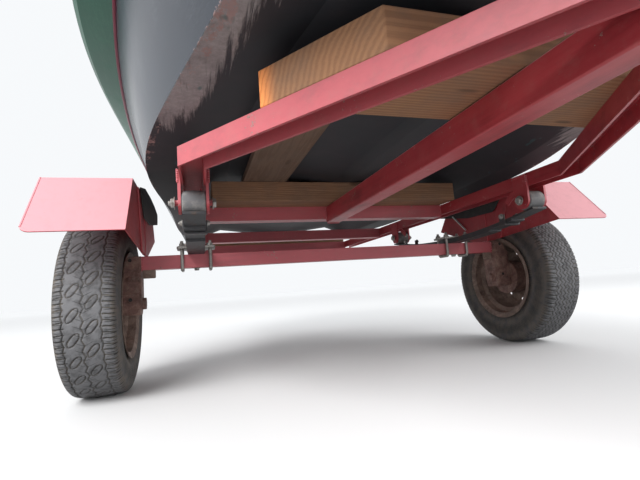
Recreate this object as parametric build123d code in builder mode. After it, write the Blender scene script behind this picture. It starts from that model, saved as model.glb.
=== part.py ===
"""A small speedboat on its two-wheel trailer, in millimetres.

X runs across the boat, +Y towards the transom, Z up. The origin lies on the floor, in the middle
of the whole length. Every sketch below is drawn in distances from the wheel axis and the floor:
at_x, at_y and at_z are its planes, and they alone know how far the axle stands from the origin.
The nose of the trailer and the bow point to -Y.
"""

import os
from collections import namedtuple
from math import cos, radians, sin, tan

from build123d import *

# wheels and axle
WHEEL_R = 300
TYRE_W = 180
TRACK_HALF = 883           # middle of the boat to the middle of a tyre
RIM_LIP_R = 188
RIM_W = 166
RIM_WALL = 4
DISC_OUT = 19              # the wheel disc lies this far outboard of the tyre's middle
VENTS = 8
STUB_R = 16
STUB_PAST_DISC = 16
STUB_NUT_T = 12
BEARING_GAP = 0.5
DRUM_R = 76
BEAM_SIZE = 50
BEAM_END_IN = 123          # the beam ends this far inboard of the middle of a tyre
BEAM_Z = 445
BEAM_WALL = 4
DROP_ARM_W = 80
DROP_ARM_T = 70

# chassis
RAIL_X = 568               # middle of a side rail
RAIL_W = 64
RAIL_H = 46
RAIL_WALL = 6
RAIL_TOP = 656
RAIL_REAR = 1400
BEND_Y = -656              # where the rails turn towards the drawbar
LEG_ANGLE = 36
SPINE_W = 58
SPINE_H = 70
SPINE_TOP = 654
SPINE_WALL = 4
SPINE_FRONT = -3230
CROSS_W = 60
CROSS_H = 55
CROSS_FRONTS = (15, 700, 1340)

# springs
LEAF_W = 60
LEAF_T = 7
LEAF_HALF = 518            # from the axle to the tip of the main leaf
SHORT_LEAF_HALVES = (415, 290)
ROLLER_Y = 484
ROLLER_R = 34
ROLLER_Z = 564
ROLLER_GAP = 1
ROLLER_SEAT = 0.8          # the leaf lies this far under the lowest point of its roller
PIN_R = 8
HANGER_T = 8
HANGER_W = 62
UBOLT_R = 6
UBOLT_PITCH = 102
CLAMP_PLATE_T = 8

# mudguards
GUARD_LAP = 12             # the inner plate stands this far in from the beam's end
GUARD_OVER = 117           # and the outer edge this far out from the middle of a tyre
GUARD_T = 3
GUARD_TOP = 689
GUARD_CORNER = 28

# timbers under the hull
TIMBER_H = 76
TIMBER_FRONT_Y = (-100, 70)
TIMBER_FRONT_HALF = 520
BLOCK_Y = (-1105, -885)
REAR_TIMBER_H = 63
PLANK_X = (-387, -223)
PLANK_T = 25
PLANK_Y = (-905, 60)

# drawbar fittings
COUPLING_NOSE = -3450
COUPLING_WALL = 5
BALL_R = 25.2
SOCKET_DEPTH = 34
POST_Y = -2890
POST_SIZE = 60
POST_TOP = 1150
STOP_R = 38
STOP_W = 90
STOP_Y = -2670.1
STOP_Z = 1072.5
JOCKEY_Y = -3060
JOCKEY_R = 100
JOCKEY_W = 50
JOCKEY_TUBE_R = 30
JOCKEY_TUBE_WALL = 5
JOCKEY_LIFT = 150
JOCKEY_TRAIL = 45
SLIDE_GAP = 0.4

# boat
HULL_WALL = 20
TRANSOM_T = 45
SOLE_Z = 880
SOLE_T = 10
BULKHEAD_Y = -1540
SHAFT_LENGTH = 381         # transom height, keel to the motor's rest
CUTOUT_HALF = 280
DECK_RISE = 84
DECK_T = 10
DECK_GAP = 0.3
CROWN = 0.06               # height of the deck's crown as a share of its half-width
OPENING_Y = (-900, -440, 1060)  # front edge, where the sides splay out to, rear edge
OPENING_HALF = 600
OPENING_FRONT_HALF = 440
OPENING_CORNER = 60
WELL_Y = 1130
WELL_WALL = 8
EYE_R = 10
EYE_T = 12
EYE_PAD_T = 6
EYE_REACH = 34
EYE_X = 520
EYE_Z = 960
STEM_EYE_Y = -2490
STEM_EYE_Z = 945

# cockpit
SEAT_X = 300
SEAT_W = 430
SEAT_Y = (-430, 60)
SEAT_Z = 1050
SEAT_BACK_Z = 1390
BENCH_HALF = 560
BENCH_Y = (640, 1060)
PAD_T = 75
PAD_GAP = 0.3
DASH_T = 25
DASH_BOTTOM = 1010
HELM_X = -300
HELM_R = 170
HELM_TUBE_R = 13
HELM_RAKE = 35
HELM_REACH = 130           # wheel above the face of the dashboard
SCREEN_T = 5
SCREEN_H = 330
SCREEN_RAKE = 40
SCREEN_FRAME = 14

# outboard motor
TILT_REST = 40             # the motor is tilted up by this much for the road
TILT_PIVOT = (1462, 1128)  # Y and Z of the tilt tube
TILT_TUBE_R = 13
STEER_AFT = 95             # steering axis behind the tilt tube
SHAFT_DROP = 545           # tilt tube to the propeller's axis
HUB_TAIL = 305
HUB_R = 27
GEARCASE_R = 42
PROP_R = 130
BLADES = 3
BLADE_PITCH = 25
BLADE_REACH = 8.527        # the lower blades stand out this far past the hub's tail
COWL_W = 290
COWL_Z = (62, 430)

# places that follow from the sizes above
SIN_TILT = sin(radians(TILT_REST))
COS_TILT = cos(radians(TILT_REST))
HUB_REACH = TILT_PIVOT[0] + HUB_TAIL * COS_TILT + (SHAFT_DROP + HUB_R) * SIN_TILT
MOTOR_REACH = HUB_REACH + BLADE_REACH
AXLE_Y = -(MOTOR_REACH + COUPLING_NOSE) / 2
RAIL_BOTTOM = RAIL_TOP - RAIL_H
BEAM_HALF = TRACK_HALF - BEAM_END_IN
GUARD_IN = BEAM_HALF - GUARD_LAP
GUARD_OUT = TRACK_HALF + GUARD_OVER
DISC_FACE = TRACK_HALF + DISC_OUT
BEAM_TOP = BEAM_Z + BEAM_SIZE / 2
BEAM_BOTTOM = BEAM_Z - BEAM_SIZE / 2
KEEL_Z = RAIL_TOP + TIMBER_H
MOTOR_REST_Z = KEEL_Z + SHAFT_LENGTH
TRANSOM_Y = 1400

Station = namedtuple(
    "Station", "y flat keel knuckle_x knuckle_z ridge_x ridge_z chine_x chine_z sheer_x sheer_z gunwale_x"
)
STATIONS = [
    Station(1400, 30, KEEL_Z, 400, 780, 561, 720, 642, 705, 865, 1160, 888),
    Station(980, 30, KEEL_Z, 412, 782, 573, 718, 656, 703, 866, 1160, 902),
    Station(560, 30, KEEL_Z, 424, 784, 586, 718, 670, 702, 860, 1160, 918),
    Station(140, 30, KEEL_Z, 434, 785, 600, 719, 686, 703, 836, 1160, 928),
    Station(-280, 30, KEEL_Z, 440, 787, 612, 728, 707, 711, 790, 1166, 905),
    Station(-700, 30, KEEL_Z, 400, 790, 545, 752, 620, 747, 716, 1178, 832),
    Station(-1120, 30, KEEL_Z, 318, 794, 425, 777, 478, 777, 628, 1198, 744),
    Station(-1540, 27, KEEL_Z + 6, 228, 804, 306, 810, 343, 817, 522, 1225, 638),
    Station(-1960, 21, KEEL_Z + 56, 133, 850, 180, 870, 203, 885, 386, 1258, 500),
    Station(-2380, 13, KEEL_Z + 192, 47, 960, 64, 985, 74, 1005, 212, 1300, 318),
    Station(-2800, 6, KEEL_Z + 580, 9, 1320, 12, 1329, 14, 1337, 22, 1352, 84),
]


def at_x(x):
    """Upright plane along the boat; its axes are Y from the axle and Z."""
    return Plane(origin=(x, AXLE_Y, 0), x_dir=(0, 1, 0), z_dir=(1, 0, 0))


def at_y(y):
    """Upright plane across the boat, facing forward; its axes are X and Z."""
    return Plane(origin=(0, AXLE_Y + y, 0), x_dir=(1, 0, 0), z_dir=(0, -1, 0))


def at_z(z):
    """Level plane; its axes are X and Y from the axle."""
    return Plane(origin=(0, AXLE_Y, z))


def motor_point(x, aft, up):
    """A point of the tilted motor, from its distances aft of and above the tilt tube."""
    return (
        x,
        AXLE_Y + TILT_PIVOT[0] + aft * COS_TILT - up * SIN_TILT,
        TILT_PIVOT[1] + aft * SIN_TILT + up * COS_TILT,
    )


def motor_side(x):
    """Upright plane along the tilted motor; its axes are aft and up."""
    return Plane(origin=motor_point(x, 0, 0), x_dir=(0, COS_TILT, SIN_TILT), z_dir=(1, 0, 0))


def motor_level(up):
    """Plane square to the steering axis; its axes are X and aft."""
    return Plane(origin=motor_point(0, 0, up), x_dir=(1, 0, 0), z_dir=(0, -SIN_TILT, COS_TILT))


def strip(path, half):
    """Outline of a flat bar of the given half-width along a bent line, its corners mitred."""
    points = [Vector(*p) for p in path]
    sides = [Vector(a.Y - b.Y, b.X - a.X).normalized() for a, b in zip(points, points[1:])]
    offsets = []
    for i in range(len(points)):
        before, after = sides[max(i - 1, 0)], sides[min(i, len(sides) - 1)]
        middle = (before + after).normalized()
        offsets.append(middle * (half / middle.dot(before)))
    outer = [p + o for p, o in zip(points, offsets)]
    inner = [p - o for p, o in zip(points, offsets)]
    return [(p.X, p.Y) for p in outer + inner[::-1]]


def both_sides(half):
    """A section's points from its right half, starting at the middle line's right side."""
    return half + [(-x, z) for x, z in reversed(half)]


def side_x(station, z):
    """Half-breadth of the hull's side at a height, between its chine and its sheer."""
    share = (z - station.chine_z) / (station.sheer_z - station.chine_z)
    return station.chine_x + share * (station.sheer_x - station.chine_x)


os.makedirs("parts", exist_ok=True)
finished = []


def finish(piece, label):
    """Names a piece and writes it."""
    piece.part.label = label
    export_step(piece.part, f"parts/{label}.step")
    finished.append(piece)


# side rails: channels with the open side down, turned in towards the drawbar

LEG_END = (0, BEND_Y - RAIL_X / tan(radians(LEG_ANGLE)))
RAIL_PATH = [(RAIL_X, RAIL_REAR), (RAIL_X, BEND_Y), LEG_END]

with BuildPart() as rail_right:
    with BuildSketch(at_z(RAIL_BOTTOM)):
        Polygon(*strip(RAIL_PATH, RAIL_W / 2), align=None)
    extrude(amount=RAIL_H)
    with BuildSketch(at_z(RAIL_BOTTOM)):
        Polygon(*strip(RAIL_PATH, RAIL_W / 2 - RAIL_WALL), align=None)
    extrude(amount=RAIL_H - RAIL_WALL, mode=Mode.SUBTRACT)
    split(bisect_by=Plane.YZ.offset(SPINE_W / 2), keep=Keep.TOP)
finish(rail_right, "rail_right")

# drawbar: a box tube on the middle line, from the front cross-member to the coupling

with BuildPart() as spine:
    with BuildSketch(at_y(CROSS_FRONTS[0])):
        with Locations((0, SPINE_TOP - SPINE_H / 2)):
            RectangleRounded(SPINE_W, SPINE_H, SPINE_WALL)
            Rectangle(SPINE_W - 2 * SPINE_WALL, SPINE_H - 2 * SPINE_WALL, mode=Mode.SUBTRACT)
    extrude(amount=CROSS_FRONTS[0] - SPINE_FRONT)
finish(spine, "spine")

# three cross-members between the rails

CROSS_HALF = RAIL_X - RAIL_W / 2
with BuildPart() as cross_members:
    for front in CROSS_FRONTS:
        with BuildSketch(at_x(-CROSS_HALF)):
            with Locations((front + CROSS_W / 2, RAIL_TOP - CROSS_H / 2)):
                Rectangle(CROSS_W, CROSS_H)
                Rectangle(CROSS_W - 2 * SPINE_WALL, CROSS_H - 2 * SPINE_WALL, mode=Mode.SUBTRACT)
        extrude(amount=2 * CROSS_HALF)
finish(cross_members, "cross_members")

# axle beam: a square tube across, open at its ends where the drop arms close it

with BuildPart() as axle_beam:
    with BuildSketch(at_x(-BEAM_HALF)):
        with Locations((0, BEAM_Z)):
            Rectangle(BEAM_SIZE, BEAM_SIZE)
            Rectangle(BEAM_SIZE - 2 * BEAM_WALL, BEAM_SIZE - 2 * BEAM_WALL, mode=Mode.SUBTRACT)
    extrude(amount=2 * BEAM_HALF)
finish(axle_beam, "axle_beam")

# drop arm with its stub axle and the brake's back plate

WHEEL_AXIS = Axis((0, AXLE_Y, WHEEL_R), (1, 0, 0))
ARM_OUT = BEAM_HALF + DROP_ARM_W
BACKPLATE_T = 3
DRUM_IN = ARM_OUT + BACKPLATE_T + 3
STUB_END = DISC_FACE + STUB_PAST_DISC

with BuildPart() as knuckle_right:
    with BuildSketch(at_y(DROP_ARM_T / 2)):
        with BuildLine():
            Polyline(
                (BEAM_HALF, BEAM_TOP),
                (BEAM_HALF + 26, BEAM_TOP),
                (BEAM_HALF + 32, WHEEL_R + 150),
                (ARM_OUT, WHEEL_R + 120),
                (ARM_OUT, WHEEL_R - 36),
                (BEAM_HALF + 6, WHEEL_R - 40),
                (BEAM_HALF, WHEEL_R),
                close=True,
            )
        make_face()
    extrude(amount=DROP_ARM_T)
    with BuildSketch(at_x(ARM_OUT)):
        with Locations((0, WHEEL_R)):
            Circle(DRUM_R + 2)
    extrude(amount=BACKPLATE_T)
    with BuildSketch(at_x(BEAM_HALF - STUB_NUT_T)):
        with Locations((0, WHEEL_R)):
            Circle(21)
    extrude(amount=STUB_NUT_T + 6)
    with BuildSketch(at_x(ARM_OUT)):
        with Locations((0, WHEEL_R)):
            Circle(STUB_R)
    extrude(amount=STUB_END - ARM_OUT)
finish(knuckle_right, "knuckle_right")

# brake drum and hub, turning on the stub

HUB_BOSS_R = 34
CAP_OUT = DISC_FACE + 46

with BuildPart() as drum_right:
    with BuildSketch(at_y(0)):
        with BuildLine():
            Polyline(
                (DRUM_IN, WHEEL_R + DRUM_R - 9),
                (DRUM_IN, WHEEL_R + DRUM_R),
                (DISC_FACE, WHEEL_R + DRUM_R),
                (DISC_FACE, WHEEL_R + HUB_BOSS_R),
                (CAP_OUT - 12, WHEEL_R + HUB_BOSS_R - 4),
                (CAP_OUT, WHEEL_R + HUB_BOSS_R - 14),
                (CAP_OUT, WHEEL_R),
                (STUB_END + 2, WHEEL_R),
                (STUB_END + 2, WHEEL_R + STUB_R + BEARING_GAP),
                (DRUM_IN, WHEEL_R + STUB_R + BEARING_GAP),
                (DRUM_IN, WHEEL_R + HUB_BOSS_R),
                (DISC_FACE - 8, WHEEL_R + HUB_BOSS_R),
                (DISC_FACE - 8, WHEEL_R + DRUM_R - 9),
                close=True,
            )
        make_face()
    revolve(axis=WHEEL_AXIS)
finish(drum_right, "drum_right")

# pressed steel rim: two lips, bead seats, a drop centre and the vented disc

BEAD_R = RIM_LIP_R - 18
WELL_R = BEAD_R - 22
HALF_RIM = RIM_W / 2

with BuildPart() as rim_right:
    with BuildSketch(at_y(0)):
        with BuildLine():
            Polyline(
                *[
                    (TRACK_HALF + dx, WHEEL_R + r)
                    for dx, r in (
                        (-HALF_RIM, RIM_LIP_R),
                        (-HALF_RIM + 8, BEAD_R),
                        (-HALF_RIM + 36, BEAD_R - 3),
                        (-HALF_RIM + 48, WELL_R),
                        (DISC_OUT + 4, WELL_R),
                        (DISC_OUT + 18, BEAD_R - 3),
                        (HALF_RIM - 8, BEAD_R),
                        (HALF_RIM, RIM_LIP_R),
                        (HALF_RIM + RIM_WALL, RIM_LIP_R),
                        (HALF_RIM - 8 + RIM_WALL, BEAD_R - RIM_WALL),
                        (DISC_OUT + 18, BEAD_R - 3 - RIM_WALL),
                        (DISC_OUT + 4 + RIM_WALL, WELL_R - RIM_WALL),
                        (DISC_OUT + 34, WELL_R - 28),
                        (DISC_OUT + 30, WELL_R - 56),
                        (DISC_OUT + RIM_WALL, DRUM_R - 16),
                        (DISC_OUT + RIM_WALL, HUB_BOSS_R + 1),
                        (DISC_OUT, HUB_BOSS_R + 1),
                        (DISC_OUT, DRUM_R - 14),
                        (DISC_OUT + 25, WELL_R - 54),
                        (DISC_OUT + 29, WELL_R - 26),
                        (DISC_OUT, WELL_R - RIM_WALL),
                        (-HALF_RIM + 44, WELL_R - RIM_WALL),
                        (-HALF_RIM + 33, BEAD_R - 3 - RIM_WALL),
                        (-HALF_RIM + 8 - RIM_WALL, BEAD_R - RIM_WALL),
                        (-HALF_RIM - RIM_WALL, RIM_LIP_R),
                    )
                ],
                close=True,
            )
        make_face()
    revolve(axis=WHEEL_AXIS)
    with BuildSketch(at_x(TRACK_HALF)):
        with Locations((0, WHEEL_R)):
            with PolarLocations(WELL_R - 36, VENTS):
                SlotOverall(26, 15, rotation=90)
    extrude(amount=HALF_RIM, mode=Mode.SUBTRACT)
finish(rim_right, "rim_right")

# tyre: flat tread, round shoulders and bulging walls down to the bead seats

HALF_TYRE = TYRE_W / 2
TREAD_HALF = HALF_TYRE - 22
BEAD_HALF = HALF_RIM - 8
WALL_FOOT_Z = WHEEL_R + RIM_LIP_R + 2

with BuildPart() as tyre_right:
    with BuildSketch(at_y(0)):
        with BuildLine():
            Polyline(
                (TRACK_HALF - BEAD_HALF - 1, WALL_FOOT_Z),
                (TRACK_HALF - BEAD_HALF + 1, WHEEL_R + BEAD_R + 0.3),
                (TRACK_HALF + BEAD_HALF - 1, WHEEL_R + BEAD_R + 0.3),
                (TRACK_HALF + BEAD_HALF + 1, WALL_FOOT_Z),
            )
            for side in (-1, 1):
                ThreePointArc(
                    (TRACK_HALF + side * (BEAD_HALF + 1), WALL_FOOT_Z),
                    (TRACK_HALF + side * HALF_TYRE, 1.8 * WHEEL_R),
                    (TRACK_HALF + side * (HALF_TYRE - 5), 2 * WHEEL_R - 26),
                )
                ThreePointArc(
                    (TRACK_HALF + side * (HALF_TYRE - 5), 2 * WHEEL_R - 26),
                    (TRACK_HALF + side * (HALF_TYRE - 10), 2 * WHEEL_R - 10),
                    (TRACK_HALF + side * TREAD_HALF, 2 * WHEEL_R - 3),
                )
            ThreePointArc(
                (TRACK_HALF - TREAD_HALF, 2 * WHEEL_R - 3),
                (TRACK_HALF, 2 * WHEEL_R),
                (TRACK_HALF + TREAD_HALF, 2 * WHEEL_R - 3),
            )
        make_face()
    revolve(axis=WHEEL_AXIS)
finish(tyre_right, "tyre_right")

# leaf spring: three leaves on the beam, the main one bearing up against a roller at each end

LEAVES_T = (1 + len(SHORT_LEAF_HALVES)) * LEAF_T
MAIN_RISE = ROLLER_Z - ROLLER_R - ROLLER_SEAT - (BEAM_TOP + LEAVES_T)
LEAF_BEND_R = (ROLLER_Y**2 + MAIN_RISE**2) / (2 * MAIN_RISE)


def leaf_rise(y):
    """Height of a leaf at a distance from the axle above its middle, on the spring's arc."""
    return LEAF_BEND_R - (LEAF_BEND_R**2 - y**2) ** 0.5


CLIP_Y = 372
with BuildPart() as spring_right:
    for layer, half in enumerate((*SHORT_LEAF_HALVES[::-1], LEAF_HALF)):
        low = BEAM_TOP + layer * LEAF_T
        high = low + LEAF_T
        with BuildSketch(at_x(RAIL_X - LEAF_W / 2)):
            with BuildLine():
                ThreePointArc((-half, low + leaf_rise(half)), (0, low), (half, low + leaf_rise(half)))
                Line((half, low + leaf_rise(half)), (half, high + leaf_rise(half)))
                ThreePointArc((half, high + leaf_rise(half)), (0, high), (-half, high + leaf_rise(half)))
                Line((-half, high + leaf_rise(half)), (-half, low + leaf_rise(half)))
            make_face()
        extrude(amount=LEAF_W)
    for y in (-CLIP_Y, CLIP_Y):
        bottom = BEAM_TOP + leaf_rise(CLIP_Y) + LEAF_T - 5
        with BuildSketch(at_y(y + 13)):
            with Locations((RAIL_X, bottom + 20)):
                Rectangle(LEAF_W + 10, 40)
                with Locations((0, 5)):
                    Rectangle(LEAF_W, 40, mode=Mode.SUBTRACT)
        extrude(amount=26)
finish(spring_right, "spring_right")

# hangers: a pair of plates on the rail at each end of the spring, with the roller's pin

with BuildPart() as hangers_right:
    for y in (-ROLLER_Y, ROLLER_Y):
        for x in (RAIL_X - RAIL_W / 2 - HANGER_T, RAIL_X + RAIL_W / 2):
            with BuildSketch(at_x(x)):
                with Locations((y, (RAIL_TOP - 8 + ROLLER_Z) / 2)):
                    Rectangle(HANGER_W, RAIL_TOP - 8 - ROLLER_Z)
                with Locations((y, ROLLER_Z)):
                    Circle(HANGER_W / 2)
            extrude(amount=HANGER_T)
        with BuildSketch(at_x(RAIL_X - RAIL_W / 2 - HANGER_T - 9)):
            with Locations((y, ROLLER_Z)):
                Circle(PIN_R)
        extrude(amount=RAIL_W + 2 * HANGER_T + 18)
finish(hangers_right, "hangers_right")

with BuildPart() as rollers_right:
    for y in (-ROLLER_Y, ROLLER_Y):
        with BuildSketch(at_x(RAIL_X - RAIL_W / 2 + ROLLER_GAP)):
            with Locations((y, ROLLER_Z)):
                Circle(ROLLER_R)
                Circle(PIN_R, mode=Mode.SUBTRACT)
        extrude(amount=RAIL_W - 2 * ROLLER_GAP)
    fillet(rollers_right.edges().filter_by(GeomType.CIRCLE).group_by(SortBy.RADIUS)[-1], 4)
finish(rollers_right, "rollers_right")

# spring clamp: plates above and below, held by two bent bolts round the beam

BOLT_Y = BEAM_SIZE / 2 + UBOLT_R + 1
CLAMP_LENGTH = 2 * BOLT_Y + 28
CLAMP_Z = BEAM_TOP + LEAVES_T + leaf_rise(CLAMP_LENGTH / 2)
CLAMP_TOP = CLAMP_Z + CLAMP_PLATE_T
BOLT_BOTTOM = BEAM_BOTTOM - UBOLT_R - 0.3
with BuildPart() as clamp_right:
    with BuildSketch(at_z(CLAMP_Z)):
        with Locations((RAIL_X, 0)):
            RectangleRounded(UBOLT_PITCH + 36, CLAMP_LENGTH, 8)
    extrude(amount=CLAMP_PLATE_T)
    for x in (RAIL_X - UBOLT_PITCH / 2, RAIL_X + UBOLT_PITCH / 2):
        with BuildLine():
            route = FilletPolyline(
                (x, AXLE_Y - BOLT_Y, CLAMP_TOP + 18),
                (x, AXLE_Y - BOLT_Y, BOLT_BOTTOM),
                (x, AXLE_Y + BOLT_Y, BOLT_BOTTOM),
                (x, AXLE_Y + BOLT_Y, CLAMP_TOP + 18),
                radius=UBOLT_R + 2,
            )
        with BuildSketch(Plane(origin=route @ 0, z_dir=route % 0)):
            Circle(UBOLT_R)
        sweep()
finish(clamp_right, "clamp_right")

# mudguard: folded sheet on the end of the beam, with its bracket

GUARD_PROFILE = [(-427, 505), (-277, GUARD_TOP), (255, GUARD_TOP), (350, 570)]
GUARD_INNER = GUARD_PROFILE + [(60, BEAM_TOP + 3), (-60, BEAM_TOP + 3)]

with BuildPart() as mudguard_right:
    with BuildSketch(at_x(GUARD_IN)):
        Polygon(*GUARD_INNER, align=None)
    extrude(amount=GUARD_T)
    with BuildSketch(at_x(GUARD_IN)):
        Polygon(*strip(GUARD_PROFILE, GUARD_T / 2), align=None)
    extrude(amount=GUARD_OUT - GUARD_IN)
    fillet(mudguard_right.edges().group_by(Axis.X)[-1].sort_by(SortBy.LENGTH)[:2], GUARD_CORNER)
    with BuildSketch(at_x(GUARD_IN - 5)):
        with Locations((0, (BEAM_TOP + GUARD_TOP) / 2 - 5)):
            Rectangle(BEAM_SIZE, GUARD_TOP - BEAM_TOP - 10)
    extrude(amount=5)
finish(mudguard_right, "mudguard_right")

# the left side's pieces are the right side's, mirrored

for right in list(finished):
    if right.part.label.endswith("_right"):
        with BuildPart() as left:
            mirror(right.part, about=Plane.YZ)
        finish(left, right.part.label.replace("_right", "_left"))

# timbers that carry the hull, and the plank along its left bottom

with BuildPart() as timber_front:
    with BuildSketch(at_z(RAIL_TOP)):
        with Locations((15, sum(TIMBER_FRONT_Y) / 2)):
            Rectangle(2 * TIMBER_FRONT_HALF, TIMBER_FRONT_Y[1] - TIMBER_FRONT_Y[0])
    extrude(amount=TIMBER_H)
    chamfer(timber_front.edges(), 2)
finish(timber_front, "timber_front")


def leg_outer_x(y):
    """Where the outer face of a drawbar leg lies at a distance from the axle."""
    reach = RAIL_W / 2 / cos(radians(LEG_ANGLE))
    return RAIL_X + (y - BEND_Y) * tan(radians(LEG_ANGLE)) + reach


with BuildPart() as timber_block:
    with BuildSketch(at_z(RAIL_TOP)):
        Polygon(
            (-leg_outer_x(BLOCK_Y[0]), BLOCK_Y[0]),
            (leg_outer_x(BLOCK_Y[0]), BLOCK_Y[0]),
            (leg_outer_x(BLOCK_Y[1]), BLOCK_Y[1]),
            (-leg_outer_x(BLOCK_Y[1]), BLOCK_Y[1]),
            align=None,
        )
    extrude(amount=TIMBER_H)
    chamfer(timber_block.edges(), 2)
finish(timber_block, "timber_block")

with BuildPart() as timber_rear:
    with BuildSketch(at_z(RAIL_TOP)):
        with Locations((-15, CROSS_FRONTS[-1] + CROSS_W / 2)):
            Rectangle(2 * TIMBER_FRONT_HALF + 40, 80)
    extrude(amount=REAR_TIMBER_H)
    chamfer(timber_rear.edges(), 2)
finish(timber_rear, "timber_rear")

with BuildPart() as keel_plank:
    with BuildSketch(at_z(KEEL_Z)):
        with Locations((sum(PLANK_X) / 2, sum(PLANK_Y) / 2)):
            Rectangle(PLANK_X[1] - PLANK_X[0], PLANK_Y[1] - PLANK_Y[0])
    extrude(amount=PLANK_T)
finish(keel_plank, "keel_plank")

# coupling head: a sleeve over the drawbar's end and a cup that takes the 50 mm ball

SLEEVE_W = SPINE_W + 2 * COUPLING_WALL + 0.6
SLEEVE_H = SPINE_H + 2 * COUPLING_WALL + 0.6
SPINE_MID = SPINE_TOP - SPINE_H / 2
CUP_R = BALL_R + 13
BALL_Y = COUPLING_NOSE + CUP_R
CUP_TOP = SPINE_MID + 30
CUP_BOTTOM = SPINE_MID - 28

with BuildPart() as coupling_head:
    with BuildSketch(at_y(SPINE_FRONT + 110)):
        with Locations((0, SPINE_MID)):
            RectangleRounded(SLEEVE_W, SLEEVE_H, COUPLING_WALL)
    extrude(amount=110 + 8)
    with BuildSketch(at_y(SPINE_FRONT + 110)):
        with Locations((0, SPINE_MID)):
            Rectangle(SPINE_W + 0.6, SPINE_H + 0.6)
    extrude(amount=110, mode=Mode.SUBTRACT)
    with BuildSketch(at_z(CUP_BOTTOM)):
        with BuildLine():
            Line((-SLEEVE_W / 2, SPINE_FRONT - 8), (SLEEVE_W / 2, SPINE_FRONT - 8))
            Line((SLEEVE_W / 2, SPINE_FRONT - 8), (CUP_R, BALL_Y))
            ThreePointArc((CUP_R, BALL_Y), (0, COUPLING_NOSE), (-CUP_R, BALL_Y))
            Line((-CUP_R, BALL_Y), (-SLEEVE_W / 2, SPINE_FRONT - 8))
        make_face()
    extrude(amount=CUP_TOP - CUP_BOTTOM)
    with BuildSketch(at_z(CUP_BOTTOM)):
        with Locations((0, BALL_Y)):
            Circle(BALL_R)
    extrude(amount=SOCKET_DEPTH, mode=Mode.SUBTRACT)
    with BuildSketch(at_x(-8)):
        with BuildLine():
            FilletPolyline(
                (BALL_Y - 10, CUP_TOP),
                (BALL_Y + 40, CUP_TOP + 46),
                (BALL_Y + 190, CUP_TOP + 66),
                (BALL_Y + 190, CUP_TOP + 48),
                (BALL_Y + 70, CUP_TOP + 30),
                (BALL_Y + 50, CUP_TOP),
                radius=6,
                close=True,
            )
        make_face()
    extrude(amount=16)
finish(coupling_head, "coupling_head")

# winch post, and on its arm the rubber roller that the stem rests against

CHEEK_T = 6
CHEEK_X = STOP_W / 2 + 2
ARM_END = STOP_Y - STOP_R - 10
with BuildPart() as winch_post:
    with BuildSketch(at_z(SPINE_TOP)):
        with Locations((0, POST_Y)):
            Rectangle(POST_SIZE + 60, POST_SIZE + 80)
    extrude(amount=CHEEK_T)
    with BuildSketch(at_z(SPINE_TOP + CHEEK_T)):
        with Locations((0, POST_Y)):
            Rectangle(POST_SIZE, POST_SIZE)
            Rectangle(POST_SIZE - 8, POST_SIZE - 8, mode=Mode.SUBTRACT)
    extrude(amount=POST_TOP - SPINE_TOP - CHEEK_T)
    with BuildSketch(at_z(POST_TOP)):
        with Locations((0, POST_Y)):
            Rectangle(POST_SIZE + 30, POST_SIZE + 30)
    extrude(amount=CHEEK_T)
    with BuildSketch(at_y(ARM_END)):
        with Locations((0, STOP_Z)):
            Rectangle(POST_SIZE - 10, POST_SIZE - 10)
    extrude(amount=ARM_END - POST_Y - POST_SIZE / 2)
    with BuildSketch(at_y(ARM_END + CHEEK_T)):
        with Locations((0, STOP_Z)):
            Rectangle(2 * (CHEEK_X + CHEEK_T), POST_SIZE - 20)
    extrude(amount=CHEEK_T)
    for x in (-CHEEK_X - CHEEK_T, CHEEK_X):
        with BuildSketch(at_x(x)):
            with Locations(((ARM_END + STOP_Y) / 2, STOP_Z)):
                Rectangle(STOP_Y - ARM_END, POST_SIZE - 20)
            with Locations((STOP_Y, STOP_Z)):
                Circle(POST_SIZE / 2 - 10)
        extrude(amount=CHEEK_T)
    with BuildSketch(at_x(-CHEEK_X - CHEEK_T)):
        with Locations((STOP_Y, STOP_Z)):
            Circle(PIN_R)
    extrude(amount=2 * (CHEEK_X + CHEEK_T))
finish(winch_post, "winch_post")

with BuildPart() as bow_stop:
    with BuildSketch(at_x(-STOP_W / 2)):
        with Locations((STOP_Y, STOP_Z)):
            Circle(STOP_R)
            Circle(PIN_R, mode=Mode.SUBTRACT)
    extrude(amount=STOP_W)
finish(bow_stop, "bow_stop")

WINCH_Z = POST_TOP + 6
with BuildPart() as winch:
    for x in (-38, 34):
        with BuildSketch(at_x(x)):
            with Locations((POST_Y, WINCH_Z + 45)):
                RectangleRounded(80, 90, 14)
        extrude(amount=4)
    with BuildSketch(at_x(-50)):
        with Locations((POST_Y, WINCH_Z + 50)):
            Circle(9)
    extrude(amount=110)
    with BuildSketch(at_x(-34)):
        with Locations((POST_Y, WINCH_Z + 50)):
            Circle(30)
    extrude(amount=68)
    with BuildSketch(at_x(56)):
        with Locations((POST_Y + 60, WINCH_Z + 50)):
            SlotOverall(160, 22)
    extrude(amount=6)
    with BuildSketch(at_x(62)):
        with Locations((POST_Y + 128, WINCH_Z + 50)):
            Circle(11)
    extrude(amount=85)
finish(winch, "winch")

# jockey wheel: outer tube clamped to the drawbar, inner tube that winds in it, fork and wheel

JOCKEY_X = SPINE_W / 2 + 14 + JOCKEY_TUBE_R
TUBE_BOTTOM = 420
TUBE_TOP = 1000
COLUMN_R = JOCKEY_TUBE_R - JOCKEY_TUBE_WALL - SLIDE_GAP
FORK_TOP = 2 * JOCKEY_R + 38
COLUMN_TOP = TUBE_TOP - JOCKEY_LIFT - 20

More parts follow.
